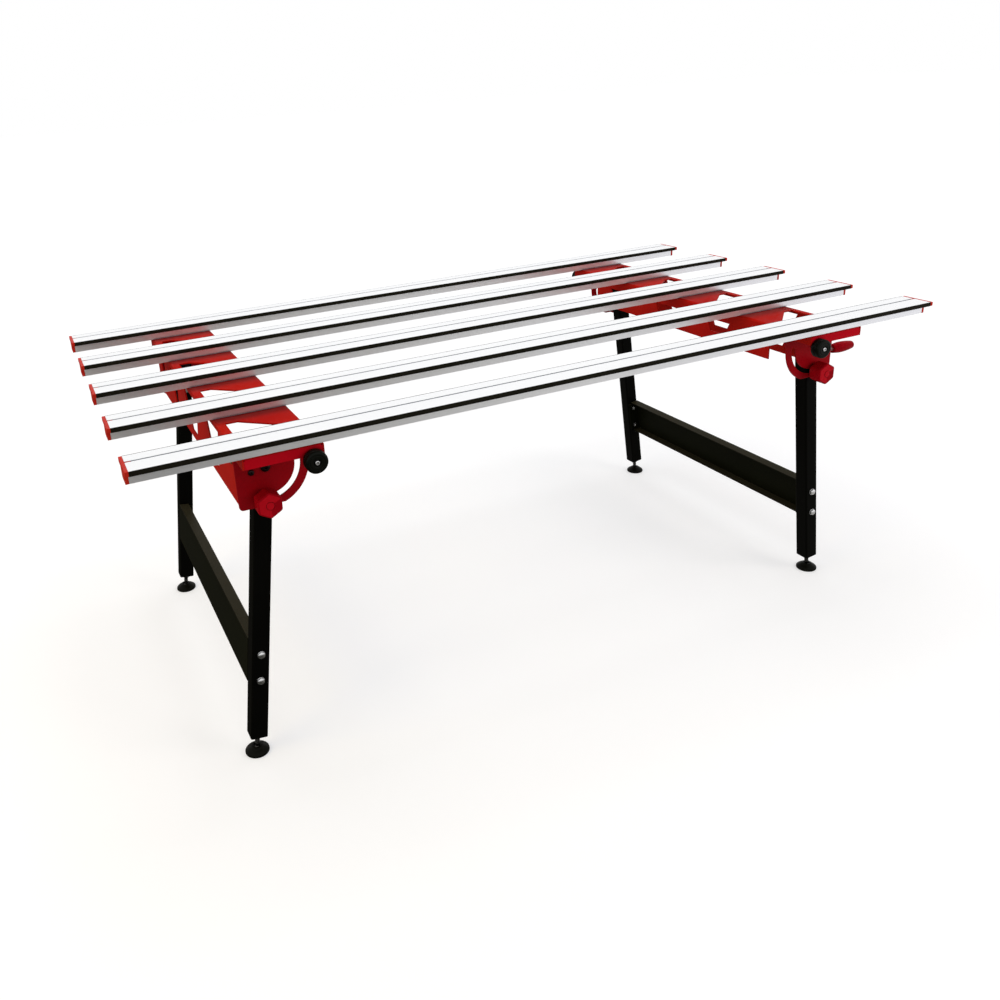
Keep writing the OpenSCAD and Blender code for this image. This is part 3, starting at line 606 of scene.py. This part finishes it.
# %% Moulded finishes
for name, dark, light, edge, rough, cloud_scale, bump, specular, peel, radius in (
        ("cap_red", (0.42, 0.009, 0.007), (0.54, 0.030, 0.012), (0.68, 0.08, 0.03),
         (0.34, 0.46), 40.0, 0.08, 0.05, 1800.0, 0.0005),
        ("knob_red", (0.24, 0.0008, 0.005), (0.34, 0.002, 0.007),
         (0.50, 0.015, 0.015), (0.22, 0.34), 40.0, 0.06, 0.02, 1600.0, 0.0006),
        ("knob_cap", (0.40, 0.002, 0.008), (0.50, 0.004, 0.012), (0.60, 0.02, 0.02),
         (0.22, 0.34), 60.0, 0.06, 0.04, 1600.0, 0.0004),
        ("black_plastic", (0.002, 0.002, 0.0015), (0.005, 0.005, 0.004),
         (0.02, 0.02, 0.018), (0.36, 0.52), 50.0, 0.1, 0.04, 1600.0, 0.0006),
        ("edge_rubber", (0.006, 0.0055, 0.0035), (0.014, 0.013, 0.008),
         (0.026, 0.024, 0.016), (0.50, 0.66), 30.0, 0.15, 0.04, 1200.0, 0.0004),
        ("bumper_rubber", (0.0018, 0.0024, 0.0014), (0.0042, 0.0052, 0.0030),
         (0.016, 0.018, 0.012), (0.30, 0.46), 50.0, 0.12, 0.08, 1400.0, 0.0006),
        ("foot_rubber", (0.002, 0.002, 0.0012), (0.005, 0.005, 0.003),
         (0.018, 0.018, 0.014), (0.22, 0.40), 50.0, 0.12, 0.05, 1400.0, 0.0006)):
    finish(name, dark, light, edge, rough, cloud_scale, bump, specular=specular,
           peel=peel, radius=radius)
print("finishes", sorted(finishes))

# %% [markdown]
# ## Finishes on the CAD nodes
# The rails, beams, brackets, tubes and braces keep their CAD shape, because it is
# already right. The record names a material slot for each node, and the finish with
# that name takes the place of the plain one.

# %% Put the finishes on
for entry in frame["record"]["subparts"]:
    piece = frame["nodes"][entry["node"]]
    piece.data.materials.clear()
    piece.data.materials.append(finishes[entry["material_slot"]])
print(len(frame["nodes"]), "nodes have a finish")

# %% [markdown]
# ## The lock knobs
# A lock knob is a hexagonal hand knob of dark red plastic with rounded corners, a
# bevelled front, a round cap in the middle and a round neck that bears on the washer.
# It could be lofted between profiles, but a six-sided prism, bevelled twice, gives the
# moulded look with few steps: first its standing corners, then its front rim.

# %% Model one knob
low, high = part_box("knob_front_left")
KNOB_DEPTH = (high.y - low.y) / MM - 1
KNOB_CORNER = (high.z - low.z) / MM / 2
CAP_R = 7.3
knob_body = turned("knob body", [(KNOB_CORNER - 3, 4), (KNOB_CORNER, 9),
                                 (KNOB_CORNER, KNOB_DEPTH - 3)], sides=6)
edit(knob_body)
pick(knob_body, "EDGE", lambda e: abs(e.verts[0].co.z - e.verts[1].co.z) > 3 * MM)
bpy.ops.mesh.bevel(offset=3.5 * MM, segments=5)
pick(knob_body, "FACE", lambda f: f.normal.z > 0.9)
for inwards, upwards in ((0.25, 1.15), (0.65, 0.95), (0.95, 0.65), (1.15, 0.25)):
    bpy.ops.mesh.inset(thickness=inwards * MM, depth=upwards * MM)
bpy.ops.object.mode_set(mode="OBJECT")
close_up(knob_body, 30)
cut(knob_body, ring("groove", 7.4, 8.1, KNOB_DEPTH - 0.9, KNOB_DEPTH + 1.2, 0.1))
knob_neck = turned("knob neck", [(13, 0), (14.5, 0.6), (15, 1.4), (15, 4.6)])
knob_cap = turned("knob cap", [
    (CAP_R, KNOB_DEPTH - 1.6), (CAP_R, KNOB_DEPTH + 0.3), (7, KNOB_DEPTH + 0.65),
    (6.2, KNOB_DEPTH + 0.9), (4, KNOB_DEPTH + 1)])
lock_knob = gather("knob", [knob_body, knob_neck, knob_cap])
print("knob", round(KNOB_DEPTH + 1, 1), "mm deep,", round(2 * KNOB_CORNER, 1), "mm wide")

# %% [markdown]
# Each knob turns by itself, so each of the four is a piece of its own, and it rides on
# the body that the joint moves. The faces of its cap get a second, lighter red.

# %% Place four knobs and colour their caps
for side in SIDES:
    for end, e in ENDS.items():
        node = f"knob_{end}_{side}"
        low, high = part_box(node)
        base = Vector(((low.x + high.x) / 2, low.y if e > 0 else high.y,
                       (low.z + high.z) / 2))
        knob = dress(copies(lock_knob, f"lock_{node}", [stand(base, (0, e, 0))]),
                     node, "knob_red", node)
        knob.data.materials.append(finishes["knob_cap"])
        for face in knob.data.polygons:
            reach = face.center - base
            if (abs(reach.y) > (KNOB_DEPTH - 0.5) * MM
                    and math.hypot(reach.x, reach.z) < (CAP_R + 0.05) * MM):
                face.material_index = 1
bpy.data.objects.remove(lock_knob)

# %% [markdown]
# ## The rubber bumpers
# Four rubber feet stand on the end plates of the beams, so that the folded table can
# stand on its long side. Each is turned, with a rounded rim, a groove round its waist,
# a shallow ring in its face and a sunk middle for the screw. With R for its radius and
# T for its thickness, the profile runs from the back rim outwards, over the edge and in
# to the middle of the face, which is height 0.

# %% Model one bumper and place four
WAIST = 1.2
size = span("bumpers")
R, T = size.x / 2, size.y
bumper = turned("bumper", [
    (R - 2.5, -T), (R - 0.8, 0.5 - T), (R, 2 - T),
    (R, -0.58 * T), (R - WAIST, -0.53 * T), (R - WAIST, -0.47 * T), (R, -0.42 * T),
    (R, -4.2), (R - 0.3, -2.8), (R - 1.2, -1.4), (R - 2.6, -0.4), (R - 4.2, 0),
    (14.6, 0), (14.1, -0.6), (13.1, -0.6), (12.6, 0),
    (8.4, 0), (7.1, -0.4), (6.2, -1.4), (6, -3)])
fit(bumper, "rubber_bumpers", "bumpers", Y, "table", "bumper_rubber", slot="edge_rubber")

# %% [markdown]
# ## Bolts and nuts
# The bolts are built from their outer end inwards: a head, sometimes a washer, a
# shaft and the crests of the thread. Height 0 is the top of the head, and the length
# comes from the CAD solid, so each bolt still ends in its own nut.
# The screw of a bumper has a round head with a hexagonal socket.

# %% The screws of the bumpers
long = span("bumper_screws").y
head = turned("screw head", [(4.3, -4), (4.5, -3.6), (4.5, -1.4), (4.1, -0.5), (3.4, 0)])
drilled(head, 2.3, -2.2, 1, sides=6)
shaft = threaded("screw shaft", "M6", long, 12, -3.8)
nut = hexagon("screw nut", 10, 2 - long, 6 - long, chamfer_low=True, chamfer_high=False)
screw = gather("bumper screw", [head, shaft, nut])
fit(screw, "socket_screws", "bumper_screws", Y, "table", "zinc_steel")

# %% [markdown]
# ### The braces
# Each end of a brace is held by two bolts with a domed hexagonal head. The dome comes
# from a prism that is cut to what it shares with a turned bell. The nuts lie apart
# from their bolts, behind the brace, so they are pieces of their own.

# %% The bolts and nuts of the braces
DOME = [(8, -6), (8, -3.4), (7.3, -2.6), (6.3, -1.7), (4.9, -0.9), (3.2, -0.35),
        (1.5, -0.06), (0.4, 0)]
for side in SIDES:
    leg = f"leg_frame_{side}"
    long = span(f"brace_bolts_{side}").y
    head = turned("bolt head", [(7.5, -5.5), (7.5, 0)], sides=6)
    cut(head, turned("dome", DOME, 48), "INTERSECT")
    washer = ring("bolt washer", 4.2, 8, -7.1, -5.5, 0.35)
    shaft = threaded("bolt shaft", "M8", long, 14, -5.2)
    bolt = gather("brace bolt", [head, washer, shaft])
    fit(bolt, f"hex_bolts_{side}", f"brace_bolts_{side}", Y, leg, "zinc_steel")
    nut = hexagon("brace nut", 13, -6.5, 0, chamfer_low=True)
    drilled(nut, 4.1, -8, 1, sides=24)
    fit(nut, f"hex_nuts_{side}", f"brace_nuts_{side}", Y, leg, "zinc_steel")

# %% [markdown]
# ### The pivots and the leg stops
# A leg frame folds about a stout bolt at each side, with a domed head outside and a
# nut inside. Beside it a stop screw carries a sleeve, on which the open leg rests.
# Both are dark steel and have sockets for a key.

# %% The pivot bolts, with a domed head outside and a nut inside
long = span("pivot_bolts").y
head = turned("pivot head", [(8.6, -5), (9, -4.5), (9, -3.2), (8.5, -1.9), (7.4, -0.8),
                             (5.8, -0.2), (4.2, 0)])
drilled(head, 3.5, -3, 1, sides=6)
shaft = threaded("pivot shaft", "M12", long, 12, -4.6, sides=32)
nut = hexagon("pivot nut", 19, 2 - long, 11 - long, chamfer_low=True, chamfer_high=False)
washer = ring("pivot washer", 6.1, 12, 11 - long, 12.7 - long, 0.4)
pivot = gather("pivot bolt", [head, shaft, nut, washer])
fit(pivot, "pivot_bolts_turned", "pivot_bolts", Y, "table", "dark_steel")

# %% The leg stops: a low head, a screw and a sleeve
long = span("leg_stops").y
head = turned("stop head", [(5.2, -3), (5.5, -2.6), (5.5, -1.3), (4.9, -0.5), (3.8, 0)])
drilled(head, 2.4, -1.8, 1, sides=6)
shaft = turned("stop shaft", [(2.6, -long), (3, 0.5 - long), (3, -2.7)], 24)
sleeve = ring("stop sleeve", 3.05, 8, 1 - long, 21 - long, 0.6)
stop = gather("leg stop", [head, shaft, sleeve])
fit(stop, "leg_stops_turned", "leg_stops", Y, "table", "dark_steel")

# %% [markdown]
# ### The brass screws
# Two small screws hold each bracket to the web of its beam, and one of them shows as a
# bright dot under the front rail. The cross slot is two bars, cut out of the head one
# after the other.

# %% The screws of the brackets, with a cross slot
long = span("bracket_screws").x
head = turned("flat head", [(5.2, -2.5), (5.5, -2.1), (5.5, -1.2), (4.9, -0.5), (3.6, 0)])
for spin in (0, math.pi / 2):
    take(camera)
    bpy.ops.mesh.primitive_cube_add(size=1, location=(0, 0, 0), rotation=(0, 0, spin))
    bar = name_it("slot bar")
    bar.scale = (6 * MM, 1.1 * MM, 2.4 * MM)
    apply_place()
    cut(head, bar)
shaft = turned("flat shaft", [(2.6, -long), (3, 0.5 - long), (3, -2.2)], 24)
nut = hexagon("flat nut", 10, 0.2 - long, 4 - long, chamfer_low=True, chamfer_high=False)
flat_screw = gather("flat screw", [head, shaft, nut])
fit(flat_screw, "cross_screws", "bracket_screws", X, "table", "brass_screw")

# %% [markdown]
# ### Under the rails
# Each rail is held on each beam by a bolt from below, whose thread ends in a nut in the
# rail's slot. All point down, so their places are found from the middle of each bolt.

# %% The bolts under the rails
long = span("rail_bolts").z
head = hexagon("rail head", 13, -5.5, 0)
rail_bolt = gather("rail bolt", [head, threaded("rail shaft", "M8", long, 6, -5.2)])
places = [stand(middle - Vector((0, 0, size.z / 2)), (0, 0, -1))
          for middle, size in spots("rail_bolts")]
dress(copies(rail_bolt, "rail_bolts_turned", places), "table", "zinc_steel", "rail_bolts")
bpy.data.objects.remove(rail_bolt)

# %% [markdown]
# ### The lock studs
# A stud with a round head passes through the leg tube and the curved slot, and the
# knob screws onto it. A washer lies between knob and bracket. Both travel with the leg
# frame when it folds, so they ride on its body.

# %% The lock studs and their washers
for side in SIDES:
    leg = f"leg_frame_{side}"
    long = span(f"lock_studs_{side}").y
    head = turned("stud head", [(8.6, -long), (9.6, 0.4 - long), (10, 1.2 - long),
                                (10, 4.4 - long), (9.6, 5 - long)])
    shaft = turned("stud shaft", thread("M10", 4.8 - long, 0), 32)
    stud = gather("lock stud", [head, shaft])
    fit(stud, f"round_head_studs_{side}", f"lock_studs_{side}", Y, leg, "zinc_steel")
    washer = ring("lock washer", 5.1, 11, -2, 0, 0.5)
    fit(washer, f"round_washers_{side}", f"lock_washers_{side}", Y, leg, "zinc_steel")

# %% [markdown]
# ## The side clamps
# A long screw with a barrel grip presses on one leg of each frame. The grip is turned
# with many rings, so that its belly is smooth, and a welded nut holds the screw.
# The belly is a list of how much thinner the grip is than at its widest, and where:
# first in millimetres, for the rounded back rim, then as parts of the whole length.

# %% Model the grip and place two
size = span("side_grip_front")
GRIP_R, GRIP_L = size.y / 2, size.x
rim = [(4, 0), (2.9, 0.5), (2.4, 1.4)]
belly = [(1.75, 0.1), (1.05, 0.18), (0.5, 0.25), (0.12, 0.33), (0, 0.41), (0.2, 0.52),
         (0.5, 0.6), (0.9, 0.67), (1.45, 0.74), (2, 0.8)]
nose = [(2.75, -8), (3.4, -4), (3.7, -2.6), (4.3, -1.2), (5.2, -0.3), (6.4, 0)]
profile = ([(less, at - GRIP_L) for less, at in rim]
           + [(less, part * GRIP_L - GRIP_L) for less, part in belly] + nose)
grip = turned("grip", [(GRIP_R - less, at) for less, at in profile], 48)
for end in ENDS:
    dress(copies(grip, f"barrel_grip_{end}", outwards(f"side_grip_{end}", X)),
          f"side_clamp_{end}", "knob_red", f"side_grip_{end}")
bpy.data.objects.remove(grip)

# %% Model the screws and their nuts
for end in ENDS:
    long = span(f"side_stud_{end}").x
    stud = turned("side screw", [(4.2, -long), (4.9, 0.7 - long)]
                  + thread("M10", 1 - long, 0), 32)
    fit(stud, f"side_screw_{end}", f"side_stud_{end}", X, f"side_clamp_{end}", "zinc_steel")
nut = hexagon("weld nut", 17, -9, 0, chamfer_low=True)
drilled(nut, 5.1, -10, 1, sides=32)
fit(nut, "weld_nuts", "clamp_nuts", X, "table", "zinc_steel")

# %% [markdown]
# ## The feet
# Each foot is a screw that ends in a ball, and a domed disc that tilts on the ball.
# The disc, of radius R and height H, is turned like a shallow bell. Then a mouth and a
# ball are cut out of it for the socket, a little larger than the ball of the screw.

# %% Model the disc
BALL_R, SOCKET_R = 6.5, 6.8
BALL_Z = joints["foot_front_left_tilt"]["pos_m"][2] / MM
size = span("disc_front_left")
R, H = size.x / 2, size.z
disc = turned("disc", [
    (R - 2, 0), (R - 0.5, 0.3), (R, 1.2), (R, 3.8), (R - 0.4, 5), (R - 1.6, 6.4),
    (R - 3.6, 8), (R - 6.2, 9.7), (R - 9, 11.3), (R - 11, 12.6), (R - 12.2, 13.8),
    (R - 12.8, H - 0.5), (R - 13.6, H)], 56)
cut(disc, turned("mouth", [(5.4, BALL_Z), (5.4, BALL_Z + 4.5), (8, H + 0.1), (8, H + 2)],
                 32))
take(camera)
bpy.ops.mesh.primitive_uv_sphere_add(segments=32, ring_count=16, radius=SOCKET_R * MM,
                                     location=(0, 0, BALL_Z * MM))
socket = name_it("socket")
apply_place()
cut(disc, socket)
print("disc", round(2 * R, 1), "mm wide,", round(H, 1), "mm high")

# %% [markdown]
# The screw is built round the middle of its ball, which is the point that it leans
# about. It runs up into the leg, so its thread goes on above the jam nut.

# %% Model the screw
NECK_TOP, NUT_LOW, NUT_HIGH, SCREW_TOP = 13, 26.1, 33.1, 71.4
take(camera)
bpy.ops.mesh.primitive_uv_sphere_add(segments=32, ring_count=16, radius=BALL_R * MM)
ball = name_it("ball")
bpy.ops.object.shade_smooth()
neck = turned("foot neck", [(3.8, 4.5), (3.8, 12.4), (4.3, NECK_TOP)], 32)
screw = turned("foot thread", thread("M10", NECK_TOP, SCREW_TOP), 32)
nut = hexagon("foot nut", 17, NUT_LOW, NUT_HIGH, chamfer_low=True)
foot_screw = gather("foot screw", [ball, neck, screw, nut])

# %% [markdown]
# The discs stand flat on the floor at rest, and the screws lean with the legs. The lean
# is read from the direction of the screw's joint.

# %% Place four discs and four screws
foot_axis = Vector(joints["foot_front_left_screw"]["axis"])
LEAN = math.atan2(abs(foot_axis.x), abs(foot_axis.z))
for side, s in SIDES.items():
    for end in ENDS:
        ball_spot = Vector(joints[f"foot_{end}_{side}_tilt"]["pos_m"])
        floor_spot = Vector((ball_spot.x, ball_spot.y, 0))
        dress(copies(disc, f"foot_pad_{end}_{side}", [Matrix.Translation(floor_spot)]),
              f"foot_disc_{end}_{side}", "foot_rubber", f"disc_{end}_{side}")
        turn = Matrix.Translation(ball_spot) @ Matrix.Rotation(-s * LEAN, 4, "Y")
        dress(copies(foot_screw, f"foot_screw_{end}_{side}", [turn]),
              f"foot_stem_{end}_{side}", "blackened_steel", f"stem_{end}_{side}",
              slot="zinc_steel")
for master in (disc, foot_screw):
    bpy.data.objects.remove(master)

# %% [markdown]
# ## Softened copies
# The extruded, folded and sawn pieces have the right shape, but their CAD edges are
# sharp as glass. A copy of such a node is merged and its flat faces are dissolved into
# whole ones. Then a narrow bevel rounds every real edge, and weighted normals keep the
# large faces flat beside it.

# %% Copy a CAD node and round its edges
SHARP = math.radians(40)


def bare_copy(node, name):
    """A copy of a CAD node that carries none of the node's own data."""
    take(frame["nodes"][node])
    bpy.ops.object.duplicate(linked=False)
    piece = name_it(name)
    piece.parent = None
    for key in list(piece.keys()):
        del piece[key]
    return piece


def soften(piece, width, segments=2):
    """Merge and flatten a copy, and round its sharp edges."""
    edit(piece)
    bpy.ops.mesh.select_all(action="SELECT")
    bpy.ops.mesh.remove_doubles(threshold=SAME_POINT)
    bpy.ops.mesh.dissolve_limited(angle_limit=math.radians(1))
    bpy.ops.object.mode_set(mode="OBJECT")
    bevel = piece.modifiers.new("soft edge", "BEVEL")
    bevel.width = width * MM
    bevel.segments = segments
    bevel.limit_method = "ANGLE"
    bevel.angle_limit = SHARP
    bpy.ops.object.modifier_apply(modifier=bevel.name)
    bpy.ops.object.shade_smooth_by_angle(angle=SHARP)
    flat = piece.modifiers.new("flat faces", "WEIGHTED_NORMAL")
    flat.keep_sharp = True
    bpy.ops.object.modifier_apply(modifier=flat.name)
    return piece


# %% [markdown]
# ### The rails and what sits on them
# The rails, their end caps, the dark strips along their edges and the nuts in their
# slots are softened one after the other. The caps are moulded, so they are rounded
# most, and the rubber strips least.

# %% Rails, caps, strips and nuts
for i in range(1, 6):
    dress(soften(bare_copy(f"rail_{i}", f"slotted_rail_{i}"), 0.4),
          "table", "rail_alloy", f"rail_{i}")
for node, name, finish_name, width, segments in (
        ("rail_caps", "end_caps", "cap_red", 0.8, 3),
        ("edge_strips", "rubber_edges", "edge_rubber", 0.35, 2),
        ("rail_nuts", "slot_nuts", "zinc_steel", 0.4, 2)):
    dress(soften(bare_copy(node, name), width, segments), "table", finish_name, node)

# %% [markdown]
# ## The beams, each folded from one sheet
# The CAD keeps each beam as three nodes, its top with both bends and its two webs. The
# real beam is one folded sheet, so the three copies are joined, the faces inside the
# seams are deleted and the seams merged before the edges are rounded.
# The end plates and brackets are sheets of their own, in a lighter and a darker red: painted light on the plates
# and painted shade on the brackets.

# %% Join the sheets and soften them
SEAM_GAP = 1e-5
for side in SIDES:
    nodes = [f"beam_{part}_{side}" for part in ("top", "outer_web", "inner_web")]
    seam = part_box(nodes[0])[0].z
    sheet = gather(f"folded_beam_{side}",
                   [bare_copy(node, node + "_copy") for node in nodes])
    edit(sheet)
    pick(sheet, "FACE", lambda face: all(abs(v.co.z - seam) < SEAM_GAP for v in face.verts))
    bpy.ops.mesh.delete(type="FACE")
    bpy.ops.mesh.select_all(action="SELECT")
    bpy.ops.mesh.remove_doubles(threshold=SEAM_GAP)
    dress(soften(sheet, 0.6), "table", "red_paint", *nodes)
    for part, finish_name in (("end_plates", "lit_plate_paint"), ("brackets", "shaded_bracket_paint")):
        dress(soften(bare_copy(f"{part}_{side}", f"rounded_{part}_{side}"), 0.6),
              "table", finish_name, f"{part}_{side}", slot="red_paint")

# %% [markdown]
# ## The leg frames
# The tubes are sawn, the braces are folded with a wider radius, and black plugs close
# the tubes at the floor. They ride on the body of their leg frame, so they fold with
# it. Spacers between the tubes and the brackets stay with the table.

# %% Tubes, braces, plugs and spacers
for side in SIDES:
    for part, finish_name, slot, width in (
            ("tubes", "black_paint", "black_paint", 0.4),
            ("brace", "brace_paint", "black_paint", 0.7),
            ("tube_plugs", "black_plastic", "black_plastic", 0.5)):
        dress(soften(bare_copy(f"{part}_{side}", f"rounded_{part}_{side}"), width),
              f"leg_frame_{side}", finish_name, f"{part}_{side}", slot=slot)
dress(soften(bare_copy("pivot_spacers", "rounded_spacers"), 0.4),
      "table", "black_plastic", "pivot_spacers")

# %% [markdown]
# ## The studio
# A soft sky and three large lamps light the table without hard shadows. The left lamp
# is a little warm, as in the photograph. Metal mirrors the white studio but not the
# lamps, whose mirror images would burn out its fine lines.
# The sky lights the table softly, yet the camera and every mirrored or bent ray see
# plain white instead.

# %% The sky
scene = bpy.context.scene
scene.view_settings.view_transform = "Standard"
world = bpy.data.worlds.new("studio")
scene.world = world
world.use_nodes = True
sky = world.node_tree
background = sky.nodes["Background"]
SKY_COLOUR, SKY_STRENGTH = (0.93, 0.95, 1.0, 1), 0.55
background.inputs["Color"].default_value = SKY_COLOUR
background.inputs["Strength"].default_value = SKY_STRENGTH
white = add(sky, "ShaderNodeBackground", {"Color": (1, 1, 1, 1), "Strength": 1.0})
ray = add(sky, "ShaderNodeLightPath")
seen = add(sky, "ShaderNodeMath", operation="MAXIMUM")
any_of = add(sky, "ShaderNodeMath", operation="MAXIMUM")
choice = add(sky, "ShaderNodeMixShader")
wire(sky, (ray, "Is Camera Ray", seen, 0), (ray, "Is Glossy Ray", seen, 1),
     (seen, 0, any_of, 0), (ray, "Is Transmission Ray", any_of, 1),
     (any_of, 0, choice, "Fac"), (background, "Background", choice, 1),
     (white, "Background", choice, 2),
     (choice, "Shader", sky.nodes["World Output"], "Surface"))
print("sky strength", SKY_STRENGTH)


# %% Lamps
def lamp(name, place, target, size, power, colour):
    """An area lamp that points at a target and isn't seen in the metal."""
    light = bpy.data.lights.new(name, "AREA")
    light.shape = "RECTANGLE"
    light.size, light.size_y = size
    light.energy = power
    light.color = colour
    holder = bpy.data.objects.new(name, light)
    scene.collection.objects.link(holder)
    holder.location = place
    aim = Vector(target) - Vector(place)
    holder.rotation_euler = aim.to_track_quat("-Z", "Y").to_euler()
    holder.visible_glossy = False
    print(name, power, "W from", [round(v, 2) for v in aim])


lamp("top lamp", (0, 0.6, 3.2), (0, 0, 0.5), (3.0, 2.0), 45, (1, 1, 1))
lamp("left lamp", (-3.4, -0.6, 1.7), (0, 0, 0.5), (2.0, 1.6), 36, (1.0, 0.80, 0.42))
lamp("right lamp", (2.6, -3.0, 1.8), (0, 0, 0.4), (2.0, 1.6), 44, (1.0, 0.93, 0.86))

# %% [markdown]
# ## The floor
# The floor is pale and dull, with a faint mottle. It is shown white to the camera by a
# glow that grows with the distance from the table, so that the light is only just full
# near the legs and their soft shadow stays.

# %% The floor, and how the camera sees it
FLOOR_SIZE, FLOOR_Z = 60, -0.0005
take(camera)
bpy.ops.mesh.primitive_plane_add(size=FLOOR_SIZE, location=(0, 0, FLOOR_Z))
floor = name_it("floor")
apply_place()
ground = bpy.data.materials.new("pale floor")
ground.use_nodes = True
tree = ground.node_tree
dull = tree.nodes["Principled BSDF"]
dull.inputs["Roughness"].default_value = 0.9
dull.inputs["Specular IOR Level"].default_value = 0.0
place = add(tree, "ShaderNodeTexCoord")
mottle = add(tree, "ShaderNodeTexNoise", {"Scale": 2.0, "Detail": 3.0})
paper = add(tree, "ShaderNodeMapRange", {"To Min": 0.58, "To Max": 0.62})
away = add(tree, "ShaderNodeVectorMath", operation="LENGTH")
lift = add(tree, "ShaderNodeMapRange", {"From Min": 1.2, "From Max": 4.0,
                                        "To Min": 0.46, "To Max": 0.72})
glow = add(tree, "ShaderNodeEmission")
lit = add(tree, "ShaderNodeAddShader")
wire(tree, (mottle, "Fac", paper, "Value"), (paper, "Result", dull, "Base Color"),
     (place, "Object", away, 0), (away, "Value", lift, "Value"),
     (lift, "Result", glow, "Strength"), (dull, "BSDF", lit, 0),
     (glow, "Emission", lit, 1))
print("floor", FLOOR_SIZE, "m wide")

# %% [markdown]
# What the metal mirrors of the floor grows brighter to the right and turns from warm to
# cool, so the long sides of the rails run from grey to white, as in the photograph.
# Two mix nodes then choose by the kind of ray: camera rays take the lit floor, mirrored
# and bent rays this one, and all others the plain dull floor.

# %% How the metal sees the floor
split = add(tree, "ShaderNodeSeparateXYZ")
fade = add(tree, "ShaderNodeMapRange", {"From Min": -0.7, "From Max": 2.8,
                                        "To Min": 0.06, "To Max": 1.0})
mirrored = add(tree, "ShaderNodeEmission")
tint = layer(tree, fade.outputs["Result"], (1.0, 0.97, 0.84), (0.94, 0.94, 1.0))
tree.links.new(tint, mirrored.inputs["Color"])
ray = add(tree, "ShaderNodeLightPath")
bounced = add(tree, "ShaderNodeMath", operation="MAXIMUM")
reflected = add(tree, "ShaderNodeMixShader")
shown = add(tree, "ShaderNodeMixShader")
wire(tree, (place, "Object", split, "Vector"), (split, "X", fade, "Value"),
     (fade, "Result", mirrored, "Strength"), (ray, "Is Glossy Ray", bounced, 0),
     (ray, "Is Transmission Ray", bounced, 1), (bounced, 0, reflected, "Fac"),
     (dull, "BSDF", reflected, 1), (mirrored, "Emission", reflected, 2),
     (ray, "Is Camera Ray", shown, "Fac"), (reflected, "Shader", shown, 1),
     (lit, "Shader", shown, 2),
     (shown, "Shader", tree.nodes["Material Output"], "Surface"))
floor.data.materials.append(ground)
print("floor material", len(tree.nodes), "nodes")

# %% [markdown]
# ## Finish
# The script ends with nothing selected.

# %% Finish
take(camera)
bpy.ops.object.select_all(action="DESELECT")
